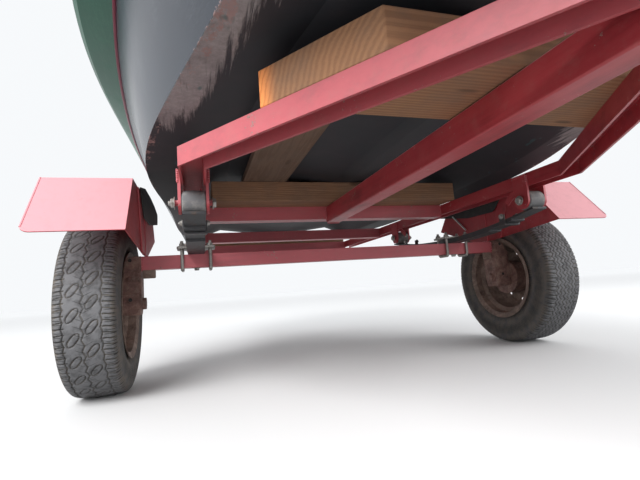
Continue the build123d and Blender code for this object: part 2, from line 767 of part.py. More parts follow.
with BuildPart() as jockey_tube:
    with BuildSketch(at_z(TUBE_BOTTOM)):
        with Locations((JOCKEY_X, JOCKEY_Y)):
            Circle(JOCKEY_TUBE_R)
            Circle(JOCKEY_TUBE_R - JOCKEY_TUBE_WALL, mode=Mode.SUBTRACT)
    extrude(amount=TUBE_TOP - TUBE_BOTTOM)
    with BuildSketch(at_z(TUBE_TOP)):
        with Locations((JOCKEY_X, JOCKEY_Y)):
            Circle(JOCKEY_TUBE_R + 3)
    extrude(amount=12)
    with BuildSketch(at_z(SPINE_MID - 25)):
        with Locations((JOCKEY_X, JOCKEY_Y)):
            Circle(JOCKEY_TUBE_R + 8)
            with Locations((-JOCKEY_TUBE_R / 2 - 14, 0)):
                Rectangle(JOCKEY_TUBE_R, 70)
            Circle(JOCKEY_TUBE_R, mode=Mode.SUBTRACT)
    extrude(amount=50)
    with BuildSketch(at_z(TUBE_TOP + 12)):
        with Locations((JOCKEY_X, JOCKEY_Y - 45)):
            SlotOverall(130, 20, rotation=90)
    extrude(amount=8)
    with BuildSketch(at_z(TUBE_TOP + 20)):
        with Locations((JOCKEY_X, JOCKEY_Y - 98)):
            Circle(10)
    extrude(amount=75)
finish(jockey_tube, "jockey_tube")

with BuildPart() as jockey_column:
    with BuildSketch(at_z(FORK_TOP + 1)):
        with Locations((JOCKEY_X, JOCKEY_Y)):
            Circle(COLUMN_R)
            Circle(COLUMN_R - 6, mode=Mode.SUBTRACT)
    extrude(amount=COLUMN_TOP - FORK_TOP - 1)
finish(jockey_column, "jockey_column")

FORK_GAP = JOCKEY_W / 2 + 6
JOCKEY_AXLE_Y = JOCKEY_Y + JOCKEY_TRAIL
with BuildPart() as jockey_fork:
    with BuildSketch(at_z(FORK_TOP - 8)):
        with Locations((JOCKEY_X, JOCKEY_Y + JOCKEY_TRAIL / 3)):
            RectangleRounded(2 * FORK_GAP + 10, 84, 12)
    extrude(amount=8)
    with BuildSketch(at_z(FORK_TOP)):
        with Locations((JOCKEY_X, JOCKEY_Y)):
            Circle(COLUMN_R - 6 - SLIDE_GAP)
    extrude(amount=24)
    for x in (JOCKEY_X - FORK_GAP - 5, JOCKEY_X + FORK_GAP):
        with BuildSketch(at_x(x)):
            with BuildLine():
                Polyline(
                    (JOCKEY_Y - 24, FORK_TOP),
                    (JOCKEY_Y + 54, FORK_TOP),
                    (JOCKEY_AXLE_Y + 16, JOCKEY_R - 14),
                    (JOCKEY_AXLE_Y - 16, JOCKEY_R - 14),
                    close=True,
                )
            make_face()
        extrude(amount=5)
    with BuildSketch(at_x(JOCKEY_X - FORK_GAP - 10)):
        with Locations((JOCKEY_AXLE_Y, JOCKEY_R)):
            Circle(PIN_R)
    extrude(amount=2 * FORK_GAP + 20)
finish(jockey_fork, "jockey_fork")

with BuildPart() as jockey_wheel:
    with BuildSketch(at_x(JOCKEY_X - JOCKEY_W / 2)):
        with Locations((JOCKEY_AXLE_Y, JOCKEY_R)):
            Circle(JOCKEY_R)
            Circle(PIN_R + BEARING_GAP, mode=Mode.SUBTRACT)
    extrude(amount=JOCKEY_W)
    fillet(jockey_wheel.edges().filter_by(GeomType.CIRCLE).group_by(SortBy.RADIUS)[-1], 12)
finish(jockey_wheel, "jockey_wheel")


# hull: one moulding through evenly spaced sections, hollow above the cockpit sole

def hull_section(s):
    """Half section from the keel's flat by the knuckle, the ridge and the chine to the sheer."""
    return [
        (s.flat, s.keel),
        (s.knuckle_x, s.knuckle_z),
        (s.ridge_x, s.ridge_z),
        (s.chine_x, s.chine_z),
        (s.sheer_x, s.sheer_z),
    ]


def loft_through(stations, section, thickness_aft=0):
    """Lofts a section, given as its right half's points, through the stations."""
    outlines = []
    for s in stations:
        y = s.y - thickness_aft if s is STATIONS[0] else s.y
        with BuildSketch(at_y(y)) as outline:
            Polygon(*both_sides(section(s)), align=None)
        outlines.append(outline.sketch)
    return loft(outlines)


INNER_STATIONS = [s for s in STATIONS if s.y >= BULKHEAD_Y]


def cavity_section(s):
    """Half section of the space inside the hull, over the sole."""
    return [(side_x(s, SOLE_Z) - HULL_WALL, SOLE_Z), (s.sheer_x - HULL_WALL, s.sheer_z + 1)]


with BuildPart() as cavity:
    loft_through(INNER_STATIONS, cavity_section, TRANSOM_T)

with BuildPart() as hull:
    loft_through(STATIONS, hull_section)
    add(cavity.part, mode=Mode.SUBTRACT)
    with BuildSketch(at_y(TRANSOM_Y + 10)):
        with Locations((0, MOTOR_REST_Z + 100)):
            Rectangle(2 * CUTOUT_HALF, 200)
    extrude(amount=TRANSOM_T + 30, mode=Mode.SUBTRACT)
finish(hull, "hull")

with BuildPart() as sole:
    with BuildSketch(at_z(SOLE_Z)):
        half = [(side_x(s, SOLE_Z) - HULL_WALL - 14, s.y) for s in INNER_STATIONS]
        half[0] = (half[0][0], TRANSOM_Y - TRANSOM_T - 2)
        half[-1] = (half[-1][0], BULKHEAD_Y + 2)
        Polygon(*both_sides(half), align=None)
    extrude(amount=SOLE_T)
finish(sole, "cockpit_sole")


# deck: rolled gunwale that stands out over the sides, side decks and a crowned foredeck

def deck_points(s):
    """Right side of the deck's section, from the joint with the hull up to the deck's edge."""
    low = s.sheer_z + DECK_GAP
    return [
        (s.sheer_x + 2, low),
        (s.gunwale_x - 14, low + 0.4 * DECK_RISE),
        (s.gunwale_x, low + 0.62 * DECK_RISE),
        (s.gunwale_x - 10, low + 0.86 * DECK_RISE),
        (0.86 * s.gunwale_x - 12, low + DECK_RISE),
    ]


def deck_loft(stations, outline, trim_aft=0):
    """Lofts the deck's closed section, its top an arc, through the stations."""
    sections = []
    for s in stations:
        y = s.y - trim_aft if s is STATIONS[0] else s.y
        points = outline(s)
        x, z = points[-1]
        with BuildSketch(at_y(y)) as section:
            with BuildLine():
                Polyline(*points)
                ThreePointArc((x, z), (0, z + CROWN * s.gunwale_x), (-x, z))
                Polyline(*[(-px, pz) for px, pz in reversed(points)])
                Line((-points[0][0], points[0][1]), points[0])
            make_face()
        sections.append(section.sketch)
    return loft(sections)


def under_deck_points(s):
    """Right side of the space under the deck."""
    return [
        (s.sheer_x - HULL_WALL, s.sheer_z - 1),
        (0.86 * s.gunwale_x - 12 - DECK_T, s.sheer_z + DECK_RISE - DECK_T),
    ]


with BuildPart() as under_deck:
    deck_loft(INNER_STATIONS, under_deck_points, TRANSOM_T)

with BuildPart() as inner_space:
    add(cavity.part)
    add(under_deck.part)

with BuildPart() as deck_solid:
    deck_loft(STATIONS, deck_points)

with BuildPart() as deck:
    add(deck_solid.part)
    add(under_deck.part, mode=Mode.SUBTRACT)
    with BuildSketch(at_z(MOTOR_REST_Z)) as opening:
        Polygon(
            *both_sides(
                [
                    (OPENING_FRONT_HALF, OPENING_Y[0]),
                    (OPENING_HALF, OPENING_Y[1]),
                    (OPENING_HALF, OPENING_Y[2]),
                ]
            ),
            align=None,
        )
        fillet(opening.vertices(), OPENING_CORNER)
    extrude(amount=400, mode=Mode.SUBTRACT)
    with BuildSketch(at_z(MOTOR_REST_Z)):
        with Locations((0, (WELL_Y + TRANSOM_Y + 40) / 2)):
            Rectangle(2 * CUTOUT_HALF, TRANSOM_Y + 40 - WELL_Y)
    extrude(amount=400, mode=Mode.SUBTRACT)
finish(deck, "deck")

# splash well between the cockpit and the motor

WELL_FLOOR = MOTOR_REST_Z - 20
WELL_TOP = STATIONS[0].sheer_z + DECK_RISE
with BuildPart() as splash_well:
    with BuildSketch(at_z(WELL_FLOOR)):
        with Locations((0, (WELL_Y + TRANSOM_Y - TRANSOM_T) / 2)):
            Rectangle(2 * CUTOUT_HALF - 1, TRANSOM_Y - TRANSOM_T - WELL_Y - 1)
    extrude(amount=WELL_TOP - WELL_FLOOR)
    with BuildSketch(at_z(WELL_FLOOR + WELL_WALL)):
        with Locations((0, (WELL_Y + TRANSOM_Y) / 2 + WELL_WALL)):
            Rectangle(2 * (CUTOUT_HALF - WELL_WALL), TRANSOM_Y - WELL_Y)
    extrude(amount=WELL_TOP, mode=Mode.SUBTRACT)
finish(splash_well, "splash_well")

# lashing eyes: a lug on a pad at each side of the transom, and one on the stem for the strap

with BuildPart() as transom_eyes:
    for x in (-EYE_X, EYE_X):
        with BuildSketch(at_y(TRANSOM_Y + EYE_PAD_T)):
            with Locations((x, EYE_Z)):
                RectangleRounded(44, 80, 8)
        extrude(amount=EYE_PAD_T)
        with BuildSketch(at_x(x - EYE_T / 2)):
            with Locations((TRANSOM_Y + EYE_REACH, EYE_Z)):
                Circle(EYE_R + 11)
                with Locations((-EYE_REACH / 2 + EYE_PAD_T / 2, 0)):
                    Rectangle(EYE_REACH - EYE_PAD_T, 2 * EYE_R + 22)
                Circle(EYE_R, mode=Mode.SUBTRACT)
        extrude(amount=EYE_T)
finish(transom_eyes, "transom_eyes")

with BuildPart() as bow_eye:
    with BuildSketch(at_x(-EYE_T / 2)):
        with Locations((STEM_EYE_Y, STEM_EYE_Z)):
            Circle(EYE_R + 11)
            with Locations((22, 22)):
                Rectangle(70, 30, rotation=45)
            Circle(EYE_R, mode=Mode.SUBTRACT)
    extrude(amount=EYE_T)
    add(hull.part, mode=Mode.SUBTRACT)
finish(bow_eye, "bow_eye")

# maroon line over the joint of hull and deck

LINE_H = 18
LINE_T = 7
LINE_GAP = 0.8
with BuildPart() as rub_line:
    for side in (-1, 1):
        for s in STATIONS:
            low_x = side_x(s, s.sheer_z - LINE_H)
            with BuildSketch(at_y(s.y)):
                Polygon(
                    (side * (s.sheer_x + LINE_GAP), s.sheer_z - 0.3),
                    (side * (s.sheer_x + LINE_T), s.sheer_z - 0.3),
                    (side * (low_x + LINE_T), s.sheer_z - LINE_H),
                    (side * (low_x + LINE_GAP), s.sheer_z - LINE_H),
                    align=None,
                )
        loft()
    add(hull.part, mode=Mode.SUBTRACT)
finish(rub_line, "rub_line")

# dashboard: a panel across under the deck's front edge, with the helm's raked face

DASH_FACE = OPENING_Y[0] - 5
BINNACLE_LOW = 1030
BINNACLE_HIGH = 1180
BINNACLE_REACH = 170
HELM_TAN = tan(radians(HELM_RAKE))
HELM_NORMAL = Vector(0, cos(radians(HELM_RAKE)), sin(radians(HELM_RAKE)))
FACE_MIDDLE = Vector(
    HELM_X,
    AXLE_Y + DASH_FACE + BINNACLE_REACH - HELM_TAN * (BINNACLE_HIGH - BINNACLE_LOW) / 2,
    (BINNACLE_LOW + BINNACLE_HIGH) / 2,
)
FACE_PLANE = Plane(origin=FACE_MIDDLE, x_dir=(1, 0, 0), z_dir=HELM_NORMAL)
HELM_SHAFT_R = 14
BOSS_H = 60

with BuildPart() as dashboard:
    with BuildSketch(at_y(DASH_FACE)):
        with Locations((0, DASH_BOTTOM + 200)):
            Rectangle(2 * OPENING_HALF + 400, 400)
    extrude(amount=DASH_T)
    add(inner_space.part, mode=Mode.INTERSECT)
    add(hull.part, mode=Mode.SUBTRACT)
    with BuildSketch(at_x(HELM_X - 120)):
        Polygon(
            (DASH_FACE, BINNACLE_LOW - 30),
            (DASH_FACE + BINNACLE_REACH, BINNACLE_LOW),
            (DASH_FACE + BINNACLE_REACH - HELM_TAN * (BINNACLE_HIGH - BINNACLE_LOW), BINNACLE_HIGH),
            (DASH_FACE, BINNACLE_HIGH + 5),
            align=None,
        )
    extrude(amount=240)
    with BuildSketch(FACE_PLANE.offset(-5)):
        Circle(HELM_SHAFT_R + 12)
    extrude(amount=BOSS_H + 5)
    with BuildSketch(FACE_PLANE.offset(10)):
        Circle(HELM_SHAFT_R + BEARING_GAP)
    extrude(amount=BOSS_H, mode=Mode.SUBTRACT)
finish(dashboard, "dashboard")

# helm wheel on its raked shaft

HELM_PLANE = FACE_PLANE.offset(HELM_REACH)
with BuildPart() as steering_wheel:
    with BuildSketch(Plane(origin=HELM_PLANE.origin, x_dir=HELM_PLANE.x_dir, z_dir=HELM_PLANE.y_dir)):
        with Locations((HELM_R - HELM_TUBE_R, 0)):
            Circle(HELM_TUBE_R)
    revolve(axis=Axis(HELM_PLANE.origin, HELM_PLANE.z_dir))
    with BuildSketch(HELM_PLANE.offset(-6)):
        Circle(34)
        with PolarLocations(HELM_R / 2, 3, start_angle=90):
            Rectangle(HELM_R - 20, 26)
    extrude(amount=8)
    with BuildSketch(FACE_PLANE.offset(12)):
        Circle(HELM_SHAFT_R)
    extrude(amount=HELM_REACH - 12)
finish(steering_wheel, "steering_wheel")

# windscreen: three raked panes in a light frame, seated on the crowned deck

SCREEN_LEAN = SCREEN_H * tan(radians(SCREEN_RAKE))
SCREEN_BASE = 1200
SCREEN_TOP = SCREEN_BASE + SCREEN_H + 80
SCREEN_PATH = [(-640, -440), (-470, -925), (470, -925), (640, -440)]
SCREEN_SLOPE = SCREEN_LEAN / SCREEN_H
SCREEN_NARROW = 0.9


def screen_path(z):
    """Centre line of the screen at a height: the foot's line moved aft and drawn in."""
    share = (z - SCREEN_BASE) / (SCREEN_TOP - SCREEN_BASE)
    shrink = 1 - (1 - SCREEN_NARROW) * share
    lean = SCREEN_SLOPE * (z - SCREEN_BASE) * 0.8
    return [(x * shrink, y + lean * (1 if abs(x) < 500 else 0.4)) for x, y in SCREEN_PATH]


def screen_solid(low, high, half):
    """Wall of the screen between two heights."""
    sections = []
    for z in (low, high):
        with BuildSketch(at_z(z)) as section:
            Polygon(*strip(screen_path(z), half), align=None)
        sections.append(section.sketch)
    return loft(sections, ruled=True)


with BuildPart() as screen_glass:
    screen_solid(SCREEN_BASE, SCREEN_TOP - SCREEN_FRAME, SCREEN_T / 2)
    add(deck_solid.part, mode=Mode.SUBTRACT)
finish(screen_glass, "windscreen_glass")

with BuildPart() as screen_frame:
    screen_solid(SCREEN_TOP - SCREEN_FRAME, SCREEN_TOP, SCREEN_FRAME / 2)
finish(screen_frame, "windscreen_frame")


# seats: moulded shells with a seat pad and a back pad each

def seat_profile(front, rear, seat_z, back_z, foot_z):
    """Side view of a moulded seat: box under the pad and a raked back."""
    return [
        (front + 40, foot_z),
        (front, seat_z),
        (rear - 70, seat_z),
        (rear - 20, back_z),
        (rear + 15, back_z),
        (rear, foot_z),
    ]


SOLE_TOP = SOLE_Z + SOLE_T
SEAT_PLACES = (
    # label, middle x, half-width, front and rear, top of the seat, top of the back
    ("seat_right", SEAT_X, SEAT_W / 2, SEAT_Y, SEAT_Z, SEAT_BACK_Z),
    ("seat_left", -SEAT_X, SEAT_W / 2, SEAT_Y, SEAT_Z, SEAT_BACK_Z),
    ("bench", 0, BENCH_HALF, BENCH_Y, SEAT_Z, STATIONS[0].sheer_z - 30),
)
for label, x, half_width, (front, rear), seat_z, back_z in SEAT_PLACES:
    with BuildPart() as shell:
        with BuildSketch(at_x(x - half_width)):
            Polygon(*seat_profile(front, rear, seat_z, back_z, SOLE_TOP), align=None)
        extrude(amount=2 * half_width)
    finish(shell, label)
    with BuildPart() as pads:
        with BuildSketch(at_x(x - half_width + 15)):
            Polygon(
                (front + 10, seat_z + PAD_GAP),
                (front + 10, seat_z + PAD_T),
                (rear - 75, seat_z + PAD_T),
                (rear - 75, seat_z + PAD_GAP),
                align=None,
            )
        extrude(amount=2 * half_width - 30)
    finish(pads, label + "_pad")

# motor bracket: two clamp arms over the transom, joined by the tilt tube

TILT_Y, TILT_Z = TILT_PIVOT
ARM_X = 85
ARM_T = 26
with BuildPart() as motor_bracket:
    for x in (-ARM_X - ARM_T / 2, ARM_X - ARM_T / 2):
        with BuildSketch(at_x(x)):
            with BuildLine():
                Polyline(
                    (TRANSOM_Y - TRANSOM_T - 22, MOTOR_REST_Z - 12),
                    (TRANSOM_Y - TRANSOM_T - 22, MOTOR_REST_Z + 14),
                    (TRANSOM_Y, MOTOR_REST_Z + 30),
                    (TILT_Y + 22, TILT_Z + 18),
                    (TILT_Y + 22, TILT_Z - 30),
                    (TRANSOM_Y + 30, MOTOR_REST_Z - 250),
                    (TRANSOM_Y + 0.3, MOTOR_REST_Z - 250),
                    (TRANSOM_Y + 0.3, MOTOR_REST_Z + 0.3),
                    (TRANSOM_Y - TRANSOM_T - 0.3, MOTOR_REST_Z + 0.3),
                    (TRANSOM_Y - TRANSOM_T - 0.3, MOTOR_REST_Z - 12),
                    close=True,
                )
            make_face()
        extrude(amount=ARM_T)
    with BuildSketch(at_x(-ARM_X - ARM_T)):
        with Locations((TILT_Y, TILT_Z)):
            Circle(TILT_TUBE_R)
    extrude(amount=2 * ARM_X + 2 * ARM_T)
finish(motor_bracket, "motor_bracket")

# swivel bracket: hangs on the tilt tube and holds the steering tube

SWIVEL_R = 27
SWIVEL_UP = (-225, 28)
SWIVEL_SHAFT_R = 15
with BuildPart() as swivel_bracket:
    with BuildSketch(motor_level(SWIVEL_UP[0])):
        with Locations((0, STEER_AFT)):
            Circle(SWIVEL_R)
    extrude(amount=SWIVEL_UP[1] - SWIVEL_UP[0])
    with BuildSketch(motor_side(-(ARM_X - ARM_T / 2 - 6))):
        with Locations((0, 0)):
            Circle(TILT_TUBE_R + 10)
        Polygon((0, 23), (STEER_AFT, 20), (STEER_AFT, -60), (-10, -20), align=None)
    extrude(amount=2 * (ARM_X - ARM_T / 2 - 6))
    with BuildSketch(motor_side(-(ARM_X - ARM_T / 2 - 6))):
        Circle(TILT_TUBE_R + BEARING_GAP)
    extrude(amount=2 * (ARM_X - ARM_T / 2 - 6), mode=Mode.SUBTRACT)
    with BuildSketch(motor_level(SWIVEL_UP[0])):
        with Locations((0, STEER_AFT)):
            Circle(SWIVEL_SHAFT_R + BEARING_GAP)
    extrude(amount=SWIVEL_UP[1] - SWIVEL_UP[0], mode=Mode.SUBTRACT)
finish(swivel_bracket, "swivel_bracket")

# motor leg: steering shaft and yokes, exhaust housing, plate, gearcase and skeg

PLATE_UP = -(TILT_Z - KEEL_Z)
PROP_LINE = Vector(0, COS_TILT, SIN_TILT)
PROP_AXIS = Axis(motor_point(0, 0, -SHAFT_DROP), PROP_LINE)
LEG_AFT = 190
with BuildPart() as motor_leg:
    with BuildSketch(motor_level(SWIVEL_UP[0] - 30)):
        with Locations((0, STEER_AFT)):
            Circle(SWIVEL_SHAFT_R)
    extrude(amount=SWIVEL_UP[1] - SWIVEL_UP[0] + 60)
    for up in (SWIVEL_UP[0] - 30, SWIVEL_UP[1] + 6):
        with BuildSketch(motor_level(up)):
            with Locations((0, STEER_AFT)):
                Circle(SWIVEL_R)
            with Locations((0, (STEER_AFT + LEG_AFT) / 2)):
                Rectangle(44, LEG_AFT - STEER_AFT)
        extrude(amount=24)
    for up, width, length in ((COWL_Z[0], 130, 170), (-60, 92, 130), (PLATE_UP, 60, 130)):
        with BuildSketch(motor_level(up)):
            with Locations((0, LEG_AFT + 20)):
                Ellipse(width / 2, length / 2)
    loft()
    with BuildSketch(motor_level(PLATE_UP - 6)):
        with Locations((0, LEG_AFT)):
            RectangleRounded(170, 300, 40)
    extrude(amount=8)
    with BuildSketch(motor_level(-SHAFT_DROP)):
        with Locations((0, HUB_TAIL - 168)):
            Ellipse(20, 64)
    extrude(amount=SHAFT_DROP + PLATE_UP)
    with BuildSketch(motor_side(0)):
        with BuildLine():
            Polyline((HUB_TAIL - 100, -SHAFT_DROP), (40, -SHAFT_DROP))
            ThreePointArc((40, -SHAFT_DROP), (66, GEARCASE_R * 0.75 - SHAFT_DROP), (120, GEARCASE_R - SHAFT_DROP))
            Polyline(
                (120, GEARCASE_R - SHAFT_DROP),
                (HUB_TAIL - 110, 32 - SHAFT_DROP),
                (HUB_TAIL - 100, HUB_R - SHAFT_DROP),
                (HUB_TAIL - 100, -SHAFT_DROP),
            )
        make_face()
    revolve(axis=PROP_AXIS)
    with BuildSketch(motor_side(-4)):
        Polygon(
            (110, -SHAFT_DROP),
            (HUB_TAIL - 105, -SHAFT_DROP),
            (HUB_TAIL - 95, -SHAFT_DROP - 120),
            (150, -SHAFT_DROP - 150),
            align=None,
        )
    extrude(amount=8)
    with BuildSketch(motor_side(0)):
        Polygon(
            (HUB_TAIL - 101, -SHAFT_DROP),
            (HUB_TAIL - 101, 8 - SHAFT_DROP),
            (HUB_TAIL - 20, 8 - SHAFT_DROP),
            (HUB_TAIL - 20, -SHAFT_DROP),
            align=None,
        )
    revolve(axis=PROP_AXIS)
finish(motor_leg, "motor_leg")

# cowl over the engine

with BuildPart() as motor_cowl:
    for up, width, front, rear in (
        (COWL_Z[0] + 0.3, 0.8 * COWL_W, STEER_AFT - 95, STEER_AFT + 250),
        (COWL_Z[0] + 90, COWL_W, STEER_AFT - 112, STEER_AFT + 300),
        (COWL_Z[1] - 80, 0.92 * COWL_W, STEER_AFT - 100, STEER_AFT + 290),
        (COWL_Z[1], 0.6 * COWL_W, STEER_AFT - 40, STEER_AFT + 200),
    ):
        with BuildSketch(motor_level(up)):
            with Locations((0, (front + rear) / 2)):
                RectangleRounded(width, rear - front, 0.4 * width)
    loft()
finish(motor_cowl, "motor_cowl")

# propeller: hub and pitched blades

with BuildPart() as propeller:
    with BuildSketch(motor_side(0)):
        Polygon(
            (HUB_TAIL - 97, 9 - SHAFT_DROP),
            (HUB_TAIL - 97, HUB_R - SHAFT_DROP),
            (HUB_TAIL, HUB_R - SHAFT_DROP),
            (HUB_TAIL, -SHAFT_DROP),
            (HUB_TAIL - 15, -SHAFT_DROP),
            (HUB_TAIL - 15, 9 - SHAFT_DROP),
            align=None,
        )
    revolve(axis=PROP_AXIS)
    for i in range(BLADES):
        outward = Vector(0, -SIN_TILT, COS_TILT).rotate(Axis((0, 0, 0), PROP_LINE), 360 / BLADES * i)
        pitched = PROP_LINE.rotate(Axis((0, 0, 0), outward), BLADE_PITCH)
        root = motor_point(0, HUB_TAIL - 50, -SHAFT_DROP)
        with BuildSketch(Plane(origin=root, x_dir=outward, z_dir=pitched)):
            with Locations(((PROP_R + HUB_R) / 2 - 4, 0)):
                Ellipse((PROP_R - HUB_R) / 2 + 4, 42)
        extrude(amount=2.5, both=True)
finish(propeller, "propeller")

print(len(finished), "pieces; axle at", round(AXLE_Y, 2))
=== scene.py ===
# %% [markdown]
# A small speedboat on its trailer, seen from road level ahead of the axle: worn tyres, rusty rims,
# chipped red steel, weathered timbers and a black hull with a green deck. The solids come from CAD
# and stay where they are. This lesson dresses them: each finish is made from shader nodes, and what
# a CAD solid only stands in for, such as a tyre's tread, is a surface worked out with numpy.

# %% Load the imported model
import math

import bmesh
import bpy
import numpy as np
from mathutils import Matrix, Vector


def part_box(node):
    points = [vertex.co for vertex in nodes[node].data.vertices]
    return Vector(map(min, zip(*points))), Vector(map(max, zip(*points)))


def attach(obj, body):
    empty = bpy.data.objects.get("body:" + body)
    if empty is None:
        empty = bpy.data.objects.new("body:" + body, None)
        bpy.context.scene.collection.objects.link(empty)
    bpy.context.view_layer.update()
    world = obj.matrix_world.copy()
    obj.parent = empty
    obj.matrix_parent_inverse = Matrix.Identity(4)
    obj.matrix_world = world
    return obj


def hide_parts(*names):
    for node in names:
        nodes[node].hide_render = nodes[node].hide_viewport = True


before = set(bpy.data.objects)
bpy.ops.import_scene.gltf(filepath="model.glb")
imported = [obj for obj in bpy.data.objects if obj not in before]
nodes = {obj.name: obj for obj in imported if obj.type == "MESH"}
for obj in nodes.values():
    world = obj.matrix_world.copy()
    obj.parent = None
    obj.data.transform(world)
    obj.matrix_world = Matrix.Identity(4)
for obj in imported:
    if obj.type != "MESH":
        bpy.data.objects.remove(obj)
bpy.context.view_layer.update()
ROOT = "boat_on_trailer"
MM = 0.001

# %% [markdown]
# Every measure of the trailer is taken from the wheel axis, so the first value is where the axle
# stands. It is read from the tyre's box, and no place is typed twice.

# %% Places read from the frame
tyre_low, tyre_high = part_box("tyre_right")
AXLE_Y = (tyre_low.y + tyre_high.y) / 2
WHEEL_R = (tyre_high.z - tyre_low.z) / 2
TYRE_X, TYRE_R = round((tyre_low.x + tyre_high.x) / 2 / MM), round(WHEEL_R / MM)
print("axle at", round(AXLE_Y, 4), "m; a tyre's middle at", TYRE_X, "mm, its radius", TYRE_R)


def from_axle(points):
    """Points in millimetres from the wheel axis and the floor, as places of the frame in metres."""
    return np.asarray(points, float) * MM + np.array([0.0, AXLE_Y, 0.0])


def new_object(name, data):
    """An object of the scene that holds a mesh, a camera or a lamp."""
    made = bpy.data.objects.new(name, data)
    bpy.context.scene.collection.objects.link(made)
    return made


# %% [markdown]
# The camera stands ahead of the axle at knee height and looks aft and up under the frame. Its place
# and turn were solved from the two wheels, the axle beam and the drawbar. They are given as a
# person would say them: so far to the right, so far up, and a roll to the left.

# %% Camera
EYE_FROM_AXLE = np.array([-0.5626, -1.614, 0.3122])
YAW, NOD, ROLL = np.radians([16.956, 6.681, -4.103])
LENS = 22.78


def camera_axes(yaw, nod, roll):
    """Right, up and forward of a camera that turns from +Y towards +X, then up, then rolls."""
    forward = np.array([math.sin(yaw) * math.cos(nod), math.cos(yaw) * math.cos(nod), math.sin(nod)])
    level = np.array([math.cos(yaw), -math.sin(yaw), 0.0])
    upright = np.cross(level, forward)
    right = math.cos(roll) * level + math.sin(roll) * upright
    return right, math.cos(roll) * upright - math.sin(roll) * level, forward


camera = new_object("camera", bpy.data.cameras.new("camera"))
right, up, forward = camera_axes(YAW, NOD, ROLL)
pose = np.eye(4)
pose[:3, :3] = np.column_stack([right, up, -forward])
pose[:3, 3] = EYE_FROM_AXLE + [0, AXLE_Y, 0]
camera.matrix_world = Matrix(pose.tolist())
camera.data.lens = LENS
camera.data.clip_start = 0.02
bpy.context.scene.camera = camera
print("camera looks along", np.round(forward, 3))

# %% [markdown]
# Shader maths reads best as sums. A Shade wraps one socket and overloads the operators, each of
# which adds a Math node; + - and * also work when the plain number comes first. Every other node
# comes from one method, node(), which takes the node's type, its settings and what its sockets are
# given.

# %% A socket that works in sums


class Shade:
    """An output socket. + - * / and ** add a Math node and give its output."""

    def __init__(self, finish, socket):
        self.finish = finish
        self.socket = socket

    def _math(self, operation, first, second=0):
        return self.finish.node("ShaderNodeMath", {"operation": operation}, {0: first, 1: second})

    def __add__(self, other):
        return self._math("ADD", self, other)

    def __radd__(self, other):
        return self._math("ADD", other, self)

    def __sub__(self, other):
        return self._math("SUBTRACT", self, other)

    def __rsub__(self, other):
        return self._math("SUBTRACT", other, self)

    def __mul__(self, other):
        return self._math("MULTIPLY", self, other)

    def __rmul__(self, other):
        return self._math("MULTIPLY", other, self)

    def __truediv__(self, other):
        return self._math("DIVIDE", self, other)

    def __pow__(self, other):
        return self._math("POWER", self, other)

    def sine(self):
        """Its sine."""
        return self._math("SINE", self)

    def bent(self):
        """Its distance from zero."""
        return self._math("ABSOLUTE", self)

    def or_more(self, other):
        """The larger of the two."""
        return self._math("MAXIMUM", self, other)

    def fraction(self):
        """What is left of it past the whole number."""
        return self._math("FRACT", self)


# %% A material under construction


